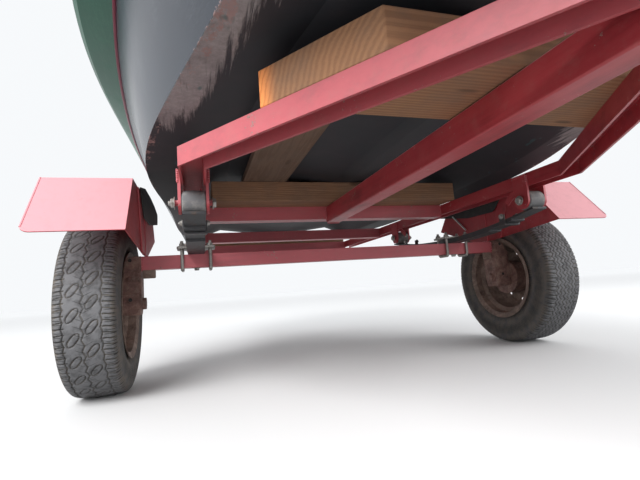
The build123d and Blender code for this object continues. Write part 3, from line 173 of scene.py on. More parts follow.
class Finish:
    """One material: a Principled shader, and the nodes that feed it."""

    def __init__(self, name):
        self.material = bpy.data.materials.new(name)
        self.material.use_nodes = True
        self.tree = self.material.node_tree
        self.shader = self.tree.nodes["Principled BSDF"]
        self.place = self.node("ShaderNodeTexCoord", output="Object")

    def feed(self, socket, value):
        """Links a Shade to a socket, or sets the socket's own value."""
        if isinstance(value, Shade):
            self.tree.links.new(value.socket, socket)
        elif socket.type == "RGBA":
            socket.default_value = (*value, 1)
        else:
            socket.default_value = value

    def node(self, kind, settings=None, inputs=None, output=0):
        """Adds a node, sets it up, feeds its sockets and gives one of its outputs."""
        made = self.tree.nodes.new(kind)
        for name, value in (settings or {}).items():
            if name == "stops":
                self._fill_ramp(made.color_ramp, value)
            else:
                setattr(made, name, value)
        for key, value in (inputs or {}).items():
            self.feed(made.inputs[key], value)
        return Shade(self, made.outputs[output])

    def _fill_ramp(self, ramp, stops):
        """Gives a colour ramp its stops, each a place and a colour."""
        ramp.elements[0].position = stops[0][0]
        ramp.elements[1].position = stops[-1][0]
        for position, _ in stops[1:-1]:
            ramp.elements.new(position)
        for element, (_, colour) in zip(ramp.elements, stops):
            element.color = (*colour, 1)

    def stretched(self, grain):
        """The place divided by a grain in metres, one number or one for each axis."""
        sizes = (grain,) * 3 if isinstance(grain, (int, float)) else grain
        inputs = {"Vector": self.place, "Scale": tuple(1 / s for s in sizes)}
        return self.node("ShaderNodeMapping", None, inputs)

    def noise(self, grain, detail=4.0, rough=0.55, warp=0.0):
        """Soft noise from 0 to 1, of a grain in metres."""
        inputs = {"Vector": self.stretched(grain), "Scale": 1.0, "Detail": detail}
        inputs.update({"Roughness": rough, "Distortion": warp})
        return self.node("ShaderNodeTexNoise", None, inputs)

    def cells(self, grain):
        """Distance to the nearest of points that are scattered a grain apart."""
        inputs = {"Vector": self.stretched(grain), "Scale": 1.0}
        return self.node("ShaderNodeTexVoronoi", None, inputs, "Distance")

    def band(self, value, low, high):
        """0 up to low, 1 from high on, and a smooth step between; high may be the smaller."""
        inputs = {"Value": value, 1: low, 2: high, 3: 0.0, 4: 1.0}
        return self.node("ShaderNodeMapRange", {"interpolation_type": "SMOOTHSTEP"}, inputs)

    def patches(self, low, high, *noise):
        """Noise cut to patches: 0 where it is below low, 1 where it is above high."""
        return self.band(self.noise(*noise), low, high)

    def mix(self, share, first, second):
        """Colours mixed: first at share 0, second at share 1."""
        return self.node("ShaderNodeMix", {"data_type": "RGBA"}, {0: share, 6: first, 7: second}, 2)

    def ramp(self, value, *stops):
        """Colours along a value, each stop a place from 0 to 1 and a colour."""
        return self.node("ShaderNodeValToRGB", {"stops": stops}, {0: value})

    def part(self, vector, axis):
        """One coordinate of a vector, "X", "Y" or "Z"."""
        return self.node("ShaderNodeSeparateXYZ", None, {0: vector}, axis)

    def along(self, axis):
        """One coordinate of the place."""
        return self.part(self.place, axis)

    def facing(self, axis):
        """One part of the surface's normal."""
        return self.part(self.node("ShaderNodeTexCoord", output="Normal"), axis)

    def length(self, vector):
        """A vector's length."""
        return self.node("ShaderNodeVectorMath", {"operation": "LENGTH"}, {0: vector}, "Value")

    def surface(self, colour, rough, height=None, depth=0.0, soft=0.0, **steady):
        """Feeds the shader. Height in 0 to 1 times depth in metres is the bump, soft rounds edges."""
        values = {"Base Color": colour, "Roughness": rough, **steady}
        if soft:
            values["Normal"] = self.node("ShaderNodeBevel", {"samples": 4}, {"Radius": soft})
        if height is not None:
            inputs = {"Strength": 1.0, "Distance": depth, "Height": height}
            if soft:
                inputs["Normal"] = values["Normal"]
            values["Normal"] = self.node("ShaderNodeBump", None, inputs)
        for name, value in values.items():
            self.feed(self.shader.inputs[name], value)
        return self.material


def tint(colour, factor, lift=0.0):
    """A colour made darker or lighter: c times factor plus lift, 1 at most."""
    return tuple(min(1, factor * c + lift) for c in colour)


print("shader helpers ready")

# %% [markdown]
# The red steel is what the picture shows most. Its paint is old: faded to a chalky pink where it faces
# the sky, a pink that is also painted sky light, and a paler pink is painted on faces turned ahead as
# light from the front. It is streaked along each bar by years of use, and chipped through a grey primer
# to rust.
# The streaks are one noise stretched along the bar, so bars that run across, and those that run
# along the boat, get a finish of their own from the same recipe.

# %% Old red paint
RED = (0.40, 0.036, 0.047)
WORN_RED = (0.50, 0.062, 0.072)
FADED_AND_SKYLIT_RED = (0.84, 0.42, 0.46)
DARK_RED = (0.17, 0.014, 0.020)
PRIMER = (0.44, 0.33, 0.30)
RUST = (0.16, 0.055, 0.025)


def red_paint(name, grain, wear=1.0, chalk=0.6):
    """Chipped red paint. Grain: how far a streak runs on each axis. Chalk: fading plus painted sky
    light.
    """
    f = Finish(name)
    clouds = f.noise(0.16, 5, 0.6)
    streaks = f.noise(grain, 5, 0.7)
    colour = f.ramp(clouds * 0.5 + streaks * 0.5, (0.30, DARK_RED), (0.48, RED), (0.72, WORN_RED))
    # Faces that look up turn a chalky pink: sun fading, and also painted sky light.
    sky = f.band(f.facing("Z"), 0.05, 0.6) * f.patches(0.6 - chalk, 0.45, 0.09, 4, 0.6)
    colour = f.mix(sky * chalk, colour, FADED_AND_SKYLIT_RED)
    # Faces turned ahead, and not down, are mixed to a pale pink: painted light from the front.
    painted_front_light = f.band(f.facing("Y"), -0.15, -0.65) * f.band(f.facing("Z"), -0.5, -0.1)
    colour = f.mix(painted_front_light * 0.42, colour, (0.74, 0.24, 0.27))
    rubs = f.band(streaks * f.noise(0.05, 6, 0.7), 0.37, 0.44)
    colour = f.mix(rubs * 0.5 * wear, colour, (0.55, 0.22, 0.23))
    grit = f.noise(0.012, 6, 0.75)
    damage = grit * 0.62 + f.noise(0.11, 3, 0.5) * 0.38
    chips = f.band(damage, 0.640 - 0.02 * wear, 0.655 - 0.02 * wear)
    bare = f.band(damage, 0.665 - 0.02 * wear, 0.68 - 0.02 * wear)
    colour = f.mix(bare, f.mix(chips, colour, PRIMER), RUST)
    dust = f.patches(0.45, 0.75, 0.03, 5, 0.8) * 0.16
    colour = f.mix(dust, colour, (0.30, 0.22, 0.18))
    rough = 0.42 + chips * 0.35 + dust * 0.8
    height = (1 - chips) * 0.6 + grit * 0.25
    return f.surface(colour, rough, height, 0.0006, soft=0.0018)


paint_along = red_paint("red_paint_along", (0.03, 0.5, 0.03))
paint_across = red_paint("red_paint_across", (0.5, 0.03, 0.03))
paint_plate = red_paint("red_paint_plate", (0.10, 0.10, 0.14), 0.7, 0.92)
print("red paint, three grains")

# %% [markdown]
# Rims, drums and drop arms have lost their paint. Rust is not one brown: it goes from a dull purple
# brown through orange to near black, in blooms of many sizes, and it is rough to the touch.

# %% Rust and bare metals


def rusty(name, deep, middle, bright, depth=0.0007):
    """Rusted iron, from a deep to a bright tone, in blooms with a pitted skin."""
    f = Finish(name)
    blooms = f.noise(0.05, 7, 0.68, 0.4)
    specks = f.noise(0.006, 5, 0.7)
    colour = f.ramp(blooms * 0.75 + specks * 0.25, (0.34, deep), (0.5, middle), (0.68, bright))
    colour = f.mix(f.patches(0.5, 0.72, 0.02, 4, 0.7) * 0.5, colour, (0.30, 0.24, 0.20))
    return f.surface(colour, 0.78 - blooms * 0.1, specks + blooms * 0.5, depth, soft=0.002)


def bare_metal(name, colour, stain, rough=0.42, metallic=0.85, grain=(0.004, 0.004, 0.06)):
    """Metal with drawn marks and stains, its polish uneven."""
    f = Finish(name)
    marks = f.noise(grain, 4, 0.6)
    stains = f.patches(0.5, 0.72, 0.03, 6, 0.7)
    tone = f.mix(stains * 0.7, f.mix(marks * 0.5, colour, tint(colour, 0.7)), stain)
    steady = {"Metallic": metallic - stains * metallic * 0.6}
    return f.surface(tone, rough + stains * 0.3, marks, 0.0002, soft=0.001, **steady)


LEAF_GRAIN = (0.01, 0.2, 0.01)
rust_dark = rusty("rust_brown", (0.07, 0.040, 0.034), (0.21, 0.115, 0.095), (0.38, 0.25, 0.20))
rust_rim = rusty("rust_rim", (0.09, 0.062, 0.050), (0.23, 0.160, 0.130), (0.40, 0.30, 0.245), 0.0005)
zinc = bare_metal("zinc", (0.62, 0.63, 0.62), (0.25, 0.20, 0.16))
old_zinc = bare_metal("old_zinc", (0.36, 0.35, 0.33), (0.16, 0.115, 0.085), 0.55, 0.6)
leaf_steel = bare_metal("leaf_steel", (0.05, 0.05, 0.054), (0.12, 0.075, 0.05), 0.5, 0.5, LEAF_GRAIN)
alloy = bare_metal("alloy", (0.66, 0.67, 0.68), (0.5, 0.5, 0.5), 0.34, 0.9)
print("rust, zinc, leaf steel, alloy")

# %% [markdown]
# The hull's side is black gelcoat, glossy under a haze of fine scratches. Low on the chine it has
# been dragged over concrete: the gloss is gone and white scuffs and a brown primer show. Wear depends
# on where a thing is touched, so it needs the chine's place. Ahead of a bend, at s metres from it,
# the chine stands 0.715 - 0.307 s from the middle and 0.703 + 0.088 s + 0.0015 s^6 above the floor.
# Aft of the bend it stays level and draws in by 0.039 s.

# %% Gelcoat
CHINE_BENDS, CHINE_X, CHINE_Z = AXLE_Y - 0.28, 0.715, 0.703


def hull_finish():
    """Black gelcoat with scratches, and a scuffed band along the chine."""
    f = Finish("hull_gelcoat")
    haze = f.noise(0.22, 4, 0.55)
    # The black is tinted blue, which is a painted reflection of the pale sky.
    colour = f.mix(haze, (0.013, 0.017, 0.026), (0.036, 0.046, 0.066))
    side = f.band(f.along("Z"), 0.74, 0.90)
    fine = f.noise((0.02, 0.35, 0.006), 5, 0.75, 0.2)
    hair = f.band((fine - 0.5).bent(), 0.012, 0.0) * f.patches(0.42, 0.62, 0.15, 3)
    colour = f.mix(hair * side * 0.45, colour, (0.30, 0.32, 0.34))
    ahead = (CHINE_BENDS - f.along("Y")).or_more(0)
    behind = (f.along("Y") - CHINE_BENDS).or_more(0)
    above = f.along("Z") - (ahead * 0.088 + ahead**6 * 0.0015 + CHINE_Z)
    inboard = CHINE_X - ahead * 0.307 - behind * 0.039 - f.along("X").bent()
    under = f.band(f.facing("Z"), -0.25, -0.7)
    # Faces that turn down are darkened nearly to black, a painted shade under the hull; they are also
    # made rough below.
    colour = f.mix(under * 0.8, colour, (0.007, 0.0065, 0.007))
    bottom_edge = f.band(inboard, 0.13, 0.0) * under * f.band(ahead, 0.05, 0.45)
    strokes = f.noise((0.016, 0.24, 0.05), 6, 0.75, 0.3)
    scuffs = f.band(strokes * 0.7 + bottom_edge * 0.42, 0.60, 0.72)
    chalky = f.mix(f.noise(0.02, 5, 0.8), (0.16, 0.145, 0.14), (0.56, 0.53, 0.52))
    colour = f.mix(scuffs * 0.85, colour, chalky)
    edge = f.band(above.bent(), 0.018, 0.002) * f.band(inboard, 0.03, 0.0)
    worn = f.band(f.noise((0.02, 0.03, 0.02), 6, 0.8) * 0.75 + edge * 0.25, 0.60, 0.66)
    primer = f.mix(f.noise(0.03, 3), (0.24, 0.10, 0.085), (0.50, 0.38, 0.36))
    colour = f.mix(worn * 0.85, colour, primer)
    teal = f.patches(0.66, 0.72, (0.05, 0.10, 0.30), 3, 0.5) * under * f.band(inboard, 0.25, 0.08)
    colour = f.mix(teal * 0.6, colour, (0.02, 0.10, 0.10))
    # Patches on faces that turn down are lifted to a mauve: grime, and a painted sheen of light from
    # the ground.
    grime = under * f.patches(0.42, 0.75, 0.12, 6, 0.7)
    colour = f.mix(grime * 0.35, colour, (0.040, 0.026, 0.030))
    rough = 0.20 + haze * 0.10 + scuffs * 0.45 + worn * 0.3 + under * 0.40
    return f.surface(colour, rough, fine * 0.4 + scuffs, 0.0004, soft=0.003)


def gelcoat(name, light, dark, rough=0.26):
    """Coloured gelcoat, with slow bands of light and dark and a few hair scratches."""
    f = Finish(name)
    bands = f.noise((0.5, 1.6, 0.4), 3, 0.5)
    colour = f.mix(f.band(bands, 0.3, 0.7), dark, light)
    hair = f.band((f.noise((0.02, 0.3, 0.02), 6, 0.7) - 0.5).bent(), 0.008, 0.0) * 0.25
    colour = f.mix(hair, colour, tint(light, 1.5, 0.1))
    chalk = f.patches(0.5, 0.8, 0.08, 5, 0.7) * 0.2
    colour = f.mix(chalk, colour, tint(light, 1, 0.12))
    steady = {"Specular IOR Level": 0.3}
    return f.surface(colour, rough + chalk, bands, 0.0002, soft=0.002, **steady)


gel_black = hull_finish()
gel_green = gelcoat("deck_gelcoat", (0.014, 0.150, 0.085), (0.006, 0.085, 0.048), 0.3)
gel_maroon = gelcoat("maroon_line", (0.25, 0.025, 0.06), (0.16, 0.015, 0.04), 0.35)
gel_cream = gelcoat("seat_gelcoat", (0.62, 0.60, 0.54), (0.52, 0.50, 0.45), 0.4)
print("gelcoat: black, green, maroon, cream")

# %% [markdown]
# Rubber and plastic differ in grain more than in colour: rubber is chalky and scuffed,
# and moulded plastic has a leather-like grain.

# %% Rubber, plastics and glass


def rubber(name, colour, dusty, amount=0.5):
    """Old rubber, chalky with dust in its pores."""
    f = Finish(name)
    pores = f.noise(0.004, 6, 0.7)
    chalk = f.patches(0.42, 0.75, 0.035, 6, 0.7) * amount
    return f.surface(f.mix(chalk, colour, dusty), 0.72 + chalk * 0.15, pores, 0.0003, soft=0.001)


def moulded(name, colour, grain=0.0025, rough=0.45, depth=0.0002):
    """Moulded plastic or painted casting with a fine even grain and slight fading."""
    f = Finish(name)
    fade = f.noise(0.15, 4, 0.6)
    skin = f.cells(grain)
    tone = f.mix(fade, colour, tint(colour, 1.35, 0.01))
    return f.surface(tone, rough + fade * 0.08, skin, depth, soft=0.0015)


def clear_screen():
    """Clear windscreen plastic, a little grey, crazed with fine scratches."""
    f = Finish("clear_screen")
    haze = f.patches(0.5, 0.8, (0.3, 0.02, 0.02), 5, 0.7)
    steady = {"IOR": 1.45, "Transmission Weight": 0.9}
    return f.surface((0.80, 0.88, 0.88), 0.06 + haze * 0.12, **steady)


def non_slip(name, colour):
    """Cockpit sole: speckled paint over a gritty non-slip skin."""
    f = Finish(name)
    grit = f.cells(0.004)
    tone = f.mix(f.patches(0.5, 0.7, 0.006, 2) * 0.3, colour, tint(colour, 0.7))
    tone = f.mix(f.patches(0.45, 0.8, 0.12, 6, 0.7) * 0.4, tone, (0.20, 0.17, 0.14))
    return f.surface(tone, 0.75, grit, 0.0006)


grey_rubber = rubber("grey_rubber", (0.16, 0.16, 0.165), (0.40, 0.37, 0.34), 0.8)
black_rubber = rubber("black_rubber", (0.018, 0.018, 0.018), (0.07, 0.065, 0.06), 0.5)
black_plastic = moulded("black_plastic", (0.030, 0.031, 0.034))
motor_paint = moulded("motor_paint", (0.040, 0.046, 0.055), 0.05, 0.24, 0.0001)
screen_clear = clear_screen()
grey_sole = non_slip("grey_sole", (0.42, 0.43, 0.42))
print("rubber, plastics, clear screen, sole")

# %% [markdown]
# Old softwood: rings seen from the side make long wavering lines, so the pattern is rings round an
# axis that lies along the timber, their radius shaken by noise. A cut end shows the same rings as
# arcs, which comes free, because the pattern is solid. The block's cut end is fresh and orange.

# %% Timber


def timber(name, axis, light, dark, centre, wander=7, ring=0.009, fresh_end=None):
    """Weathered wood with rings round an axis, "X" or "Y", at a centre, silvered and stained."""
    f = Finish(name)

    def lengthwise(long, short):
        return (long, short, short) if axis == "X" else (short, long, short)

    shake = f.noise(lengthwise(0.9, 0.05), 4, 0.6)
    across = (f.along("Y" if axis == "X" else "X") - centre[0]) / ring
    height = (f.along("Z") - centre[1]) / ring
    radius = (across * across + height * height) ** 0.5 + shake * wander
    rings = (radius * 6.283).sine()
    grain = f.noise(lengthwise(0.9, 0.004), 5, 0.7)
    tone = f.mix(f.band(rings, -0.9, 0.9) * 0.35 + grain * 0.35, light, dark)
    tone = f.mix(f.patches(0.38, 0.7, 0.10, 5, 0.65) * 0.4, tone, (0.17, 0.12, 0.09))
    knots = f.band(f.cells(lengthwise(0.32, 0.09)), 0.13, 0.05)
    tone = f.mix(knots * 0.7, tone, (0.06, 0.033, 0.02))
    if fresh_end is not None:
        cut = f.band(f.along("X"), fresh_end + 0.03, fresh_end)
        warm = f.mix(f.band(rings, 0.2, 1.0) * 0.55, (1.0, 0.36, 0.11), (0.62, 0.185, 0.05))
        tone = f.mix(cut, tone, warm)
    return f.surface(tone, 0.9, f.band(rings, -1, 1) * 0.5 + grain, 0.0012, soft=0.003)


timber_across = timber(
    "timber_across", "X", light=(0.40, 0.215, 0.12), dark=(0.18, 0.090, 0.048),
    centre=(AXLE_Y - 0.08, 0.50),
)
timber_along = timber(
    "timber_along", "Y", light=(0.19, 0.115, 0.075), dark=(0.085, 0.048, 0.030), centre=(-0.36, 0.50),
)
timber_fresh = timber(
    "timber_block_wood", "X", light=(0.42, 0.215, 0.11), dark=(0.20, 0.095, 0.05),
    centre=(AXLE_Y - 1.2, 0.61), wander=1.6, ring=0.0105, fresh_end=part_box("timber_block")[0].x,
)
print("timber, three finishes")

# %% [markdown]
# Each CAD node that stays gets its finish here, from one table.

# %% Finishes on the CAD nodes
GUARDS = ["hangers_left", "hangers_right", "mudguard_left", "mudguard_right"]
FINISHES = {
    paint_along: ["rail_left", "rail_right", "spine"],
    paint_across: ["cross_members", "axle_beam"],
    paint_plate: GUARDS + ["coupling_head", "winch_post"],
    rust_dark: ["knuckle_left", "knuckle_right", "drum_left", "drum_right"],
    rust_rim: ["rim_left", "rim_right"],
    old_zinc: ["clamp_left", "clamp_right"],
    zinc: ["winch", "jockey_tube", "jockey_column", "jockey_fork", "transom_eyes", "bow_eye"],
    leaf_steel: ["spring_left", "spring_right"],
    grey_rubber: ["rollers_left", "rollers_right", "bow_stop", "jockey_wheel"],
    timber_across: ["timber_front", "timber_rear"],
    timber_along: ["keel_plank"],
    timber_fresh: ["timber_block"],
    gel_black: ["hull"],
    gel_green: ["deck"],
    gel_maroon: ["rub_line"],
    gel_cream: ["seat_left", "seat_right", "bench", "splash_well"],
    grey_sole: ["cockpit_sole"],
    screen_clear: ["windscreen_glass"],
    alloy: ["windscreen_frame", "propeller"],
    motor_paint: ["motor_bracket", "swivel_bracket", "motor_leg", "motor_cowl"],
    black_plastic: ["dashboard", "steering_wheel"],
}


def give_finish(piece, material):
    """Makes a material the only one of a piece."""
    piece.data.materials.clear()
    piece.data.materials.append(material)


for material, names in FINISHES.items():
    for name in names:
        give_finish(nodes[name], material)
dressed = [n for names in FINISHES.values() for n in names]
print(len(dressed), "nodes finished; left over:", sorted(set(nodes) - set(dressed)))

# %% [markdown]
# What CAD leaves out is added as surfaces worked out with numpy. All of them are grids: rows of
# points, each row joined to the next. A grid that is rolled up gives bars, nuts and tyres, so one
# small set of functions makes every added piece. Lengths are in millimetres from the wheel axis.

# %% Grids of points
random = np.random.default_rng(9033)


def grid_faces(rows, columns, wrap_rows=False, wrap_columns=False):
    """Quads between neighbouring points of a grid; a wrapped side is joined to its other end."""
    i, j = np.meshgrid(
        np.arange(rows if wrap_rows else rows - 1),
        np.arange(columns if wrap_columns else columns - 1),
        indexing="ij",
    )
    i_next, j_next = (i + 1) % rows, (j + 1) % columns
    corners = [i * columns + j, i * columns + j_next, i_next * columns + j_next, i_next * columns + j]
    return np.stack(corners, -1).reshape(-1, 4)


def unit(vectors):
    """Vectors of length one."""
    vectors = np.asarray(vectors, float)
    return vectors / np.linalg.norm(vectors, axis=-1, keepdims=True)


def turned(profile, sides):
    """A profile of radius r and height h turned about Z: the point (r cos a, r sin a, h)."""
    profile = np.asarray(profile, float)
    angle = np.arange(sides) * 2 * math.pi / sides
    ring = np.stack([np.cos(angle), np.sin(angle), np.zeros(sides)], -1)
    points = profile[:, None, :1] * ring + profile[:, None, 1:] * np.array([0, 0, 1.0])
    return points.reshape(-1, 3), grid_faces(len(profile), sides, wrap_columns=True)


def disc(radius, height, sides):
    """A short round bar, standing on height 0."""
    return turned([(0, 0), (radius, 0), (radius, height), (0, height)], sides)


def swept(path, section, lean=(0, 0, 1), swell=1.0):
    """A section carried along a path and shut at both ends.

    Each point is the path's point plus swell times (a * side + b * up), where (a, b) is a point of
    the section, side is square to the path and to lean, and up is square to both.
    """
    path, section = np.asarray(path, float), np.asarray(section, float)
    ahead = np.gradient(path, axis=0)
    side = unit(np.cross(ahead, lean))
    up = unit(np.cross(side, ahead))
    swell = np.broadcast_to(swell, len(path))[:, None, None]
    rings = path[:, None] + swell * (section[:, :1] * side[:, None] + section[:, 1:] * up[:, None])
    first, last = (np.repeat(path[end][None, None], len(section), 1) for end in (0, -1))
    rings = np.concatenate([first, rings, last])
    return rings.reshape(-1, 3), grid_faces(len(rings), len(section), wrap_columns=True)


def looped(path, section, lean=(0, 0, 1)):
    """A section carried round a closed path, by the formula of swept."""
    path, section = np.asarray(path, float), np.asarray(section, float)
    ahead = np.roll(path, -1, 0) - np.roll(path, 1, 0)
    side = unit(np.cross(ahead, lean))
    up = unit(np.cross(side, ahead))
    rings = path[:, None] + section[:, :1] * side[:, None] + section[:, 1:] * up[:, None]
    return rings.reshape(-1, 3), grid_faces(len(path), len(section), True, True)


def circle(radius, sides=10):
    """Section of a round bar."""
    angle = np.arange(sides) * 2 * math.pi / sides
    return radius * np.stack([np.cos(angle), np.sin(angle)], -1)


def flat_bar(width, thick):
    """Section of a flat bar."""
    a, b = width / 2, thick / 2
    return [(-a, -b), (a, -b), (a, b), (-a, b)]


def rounded(corners, radius, steps=5):
    """Outline with its corners rounded: near corner c, the curve (1-t)^2 p + 2t(1-t) c + t^2 q."""
    corners = np.asarray(corners, float)
    t = np.linspace(0, 1, steps)[None, :, None]
    before = corners + radius * unit(np.roll(corners, 1, 0) - corners)
    after = corners + radius * unit(np.roll(corners, -1, 0) - corners)
    curve = (1 - t) ** 2 * before[:, None] + 2 * t * (1 - t) * corners[:, None] + t**2 * after[:, None]
    return curve.reshape(-1, 2)


def oblong(width, height, radius, middle=(0, 0)):
    """Outline of a rounded rectangle round a middle."""
    return rounded(np.array(flat_bar(width, height)) + middle, radius)


FACING_RIGHT = (0, 1, 0), (0, 0, 1)
FACING_AHEAD = (1, 0, 0), (0, 0, 1)


def plate(outline, thick, edge, origin=(0, 0, 0), u=(1, 0, 0), v=(0, 1, 0)):
    """A flat plate with softened edges. Its point (a, b) lies at origin + a u + b v."""
    outline = np.asarray(outline, float)
    middle = outline.mean(0)
    size = np.linalg.norm(outline - middle, axis=1).mean()
    inner = middle + (outline - middle) * (1 - edge / size)
    layers = [(middle + 0 * outline, 0), (inner, 0), (outline, edge), (outline, thick - edge)]
    layers += [(inner, thick), (middle + 0 * outline, thick)]
    u, v = unit(u), unit(v)
    normal = np.cross(u, v)
    points = [np.asarray(origin, float) + p[:, :1] * u + p[:, 1:] * v + h * normal for p, h in layers]
    return np.concatenate(points), grid_faces(len(layers), len(outline), wrap_columns=True)


print("grid helpers ready")

# %% Copies, mirror images and finished pieces
SHARP, SAME_PLACE, NO_LENGTH = math.radians(38), 1e-6, 1e-7


def joined(*shapes):
    """Several shapes as one."""
    starts = np.cumsum([0] + [len(points) for points, _ in shapes[:-1]])
    faces = [quads + start for (_, quads), start in zip(shapes, starts)]
    return np.concatenate([points for points, _ in shapes]), np.concatenate(faces)


def moved(shape, shift):
    """The shape, shifted."""
    return shape[0] + np.asarray(shift, float), shape[1]


def copies(shape, places, direction=(0, 0, 1)):
    """The shape at every place, its Z axis turned along a direction."""
    points, faces = shape
    along = unit(direction)
    across = unit(np.cross((0, 0, 1) if abs(along[2]) < 0.9 else (1, 0, 0), along))
    axes = np.stack([across, np.cross(along, across), along])
    spread = (points @ axes)[None] + np.asarray(places, float)[:, None]
    shift = np.arange(len(spread))[:, None, None] * len(points)
    return spread.reshape(-1, 3), (faces[None] + shift).reshape(-1, 4)


def outwards(shape, reach, places):
    """The shape on the left and the right of every place, at reach from it, its Z axis outwards."""
    places = np.asarray(places, float)
    return joined(*[copies(shape, places + [s * reach, 0, 0], (s, 0, 0)) for s in (-1, 1)])


def mirrored(shape):
    """The shape on the other side of the boat."""
    return shape[0] * [-1, 1, 1], shape[1]


def both(*shapes):
    """Shapes on both sides of the boat, as one."""
    return joined(joined(*shapes), mirrored(joined(*shapes)))


def settled(name, mesh, material, body):
    """A mesh as a piece of the scene that has its finish and rides on a body."""
    made = new_object(name, mesh)
    give_finish(made, material)
    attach(made, body)
    print(name, len(mesh.polygons), "faces")
    return made


def piece(name, shape, material, slot, body=ROOT):
    """Puts a shape into the scene: doubles merged, faces outwards, riding on its body."""
    mesh = bpy.data.meshes.new(name)
    mesh.from_pydata(from_axle(shape[0]).tolist(), [], shape[1].tolist())
    work = bmesh.new()
    work.from_mesh(mesh)
    bmesh.ops.remove_doubles(work, verts=work.verts, dist=SAME_PLACE)
    bmesh.ops.dissolve_degenerate(work, edges=work.edges, dist=NO_LENGTH)
    bmesh.ops.recalc_face_normals(work, faces=work.faces)
    work.to_mesh(mesh)
    work.free()
    mesh.shade_smooth()
    mesh.set_sharp_from_angle(angle=SHARP)
    settled(name, mesh, material, body)


# %% [markdown]
# A tyre is a closed section carried round the wheel. Its tread is cut in by moving points inwards.
# The two tyres are of different makes: the left one has two rows of slanted loops between zigzag
# lines, the right one only close zigzag lines, and both have cuts over the shoulders. One pitch of
# the pattern is worked out and repeated round the tyre. The depth also goes into an attribute, so
# that the finish can paint shade into the grooves and lay dust in them.

# %% Tyre tread
PITCHES, STEPS, CUT_DEPTH, CUT_HALF_WIDTH = 26, 34, 3.6, 1.8
SHOULDER, TREAD_END = 50, 84
PITCH = 2 * math.pi * TYRE_R / PITCHES
LOOP_HALF_LENGTH, LOOP_HALF_WIDTH = 25, 9.5
HALF_SECTION = [
    (74.5, 171), (76.5, 190), (84, 208), (89.3, 232), (89.2, 256), (85.2, 274), (79.5, 289),
    (68, 296.8), (50, 298.4), (25, 299.6),
]


def smooth_line(knots, places):
    """A curve through knots: between two of them a cubic whose slopes point at their neighbours."""
    knots = np.asarray(knots, float)
    i = np.clip(np.floor(places).astype(int), 0, len(knots) - 2)
    t = (places - i)[:, None]
    p0, p1 = knots[np.maximum(i - 1, 0)], knots[i]
    p2, p3 = knots[i + 1], knots[np.minimum(i + 2, len(knots) - 1)]
    slope1, slope2 = (p2 - p0) / 2, (p3 - p1) / 2
    return (
        (2 * t**3 - 3 * t**2 + 1) * p1 + (t**3 - 2 * t**2 + t) * slope1
        + (3 * t**2 - 2 * t**3) * p2 + (t**3 - t**2) * slope2
    )


def through(knots, steps=40):
    """A smooth path through knots."""
    return smooth_line(knots, np.linspace(0, len(knots) - 1, steps))


def line_cut(distance, half_width):
    """1 in the middle of a cut, 0 outside it, with a smooth step between."""
    share = np.clip(1.35 - np.abs(distance) / half_width, 0, 1)
    return share * share * (3 - 2 * share)


def leaf_cut(run, across, middle_run, middle_across):
    """Cut along the outline of a slanted lozenge: where |b| = 9.5 (1 - (a / 25)^4) on its own axes."""
    cut = 0
    for shift in (-1, 0, 1):
        from_run, from_across = run - middle_run + shift * PITCH, across - middle_across
        a, b = 0.8 * from_run - 0.6 * from_across, 0.6 * from_run + 0.8 * from_across
        rim = LOOP_HALF_WIDTH * (1 - (a / LOOP_HALF_LENGTH) ** 4)
        cut = np.maximum(cut, line_cut(np.abs(b) - rim, 2.0) * (np.abs(a) < LOOP_HALF_LENGTH))
    return cut


def zigzag(run, size, turns):
    """A wave of straight strokes between -size and size."""
    phase = run / PITCH * turns % 1
    return size * (4 * np.abs(phase - 0.5) - 1)


def tread_cut(run, across, lines, loops):
    """Depth of the tread's cuts, from 0 to 1, over one pitch."""
    cut = 0 * run
    for middle_run, middle_across in loops:
        cut = np.maximum(cut, leaf_cut(run, across, middle_run, middle_across))
    for middle, size, turns in lines:
        cut = np.maximum(cut, line_cut(across - middle - zigzag(run, size, turns), CUT_HALF_WIDTH))
    over = (np.abs(across) - SHOULDER) / 30
    for start in (0.0, 0.25, 0.5, 0.75):
        curved = (run - start * PITCH - 5 * over**2 + PITCH / 2) % PITCH - PITCH / 2
        cut = np.maximum(cut, line_cut(curved, CUT_HALF_WIDTH) * (over > 0))
    return cut * (np.abs(across) < TREAD_END)


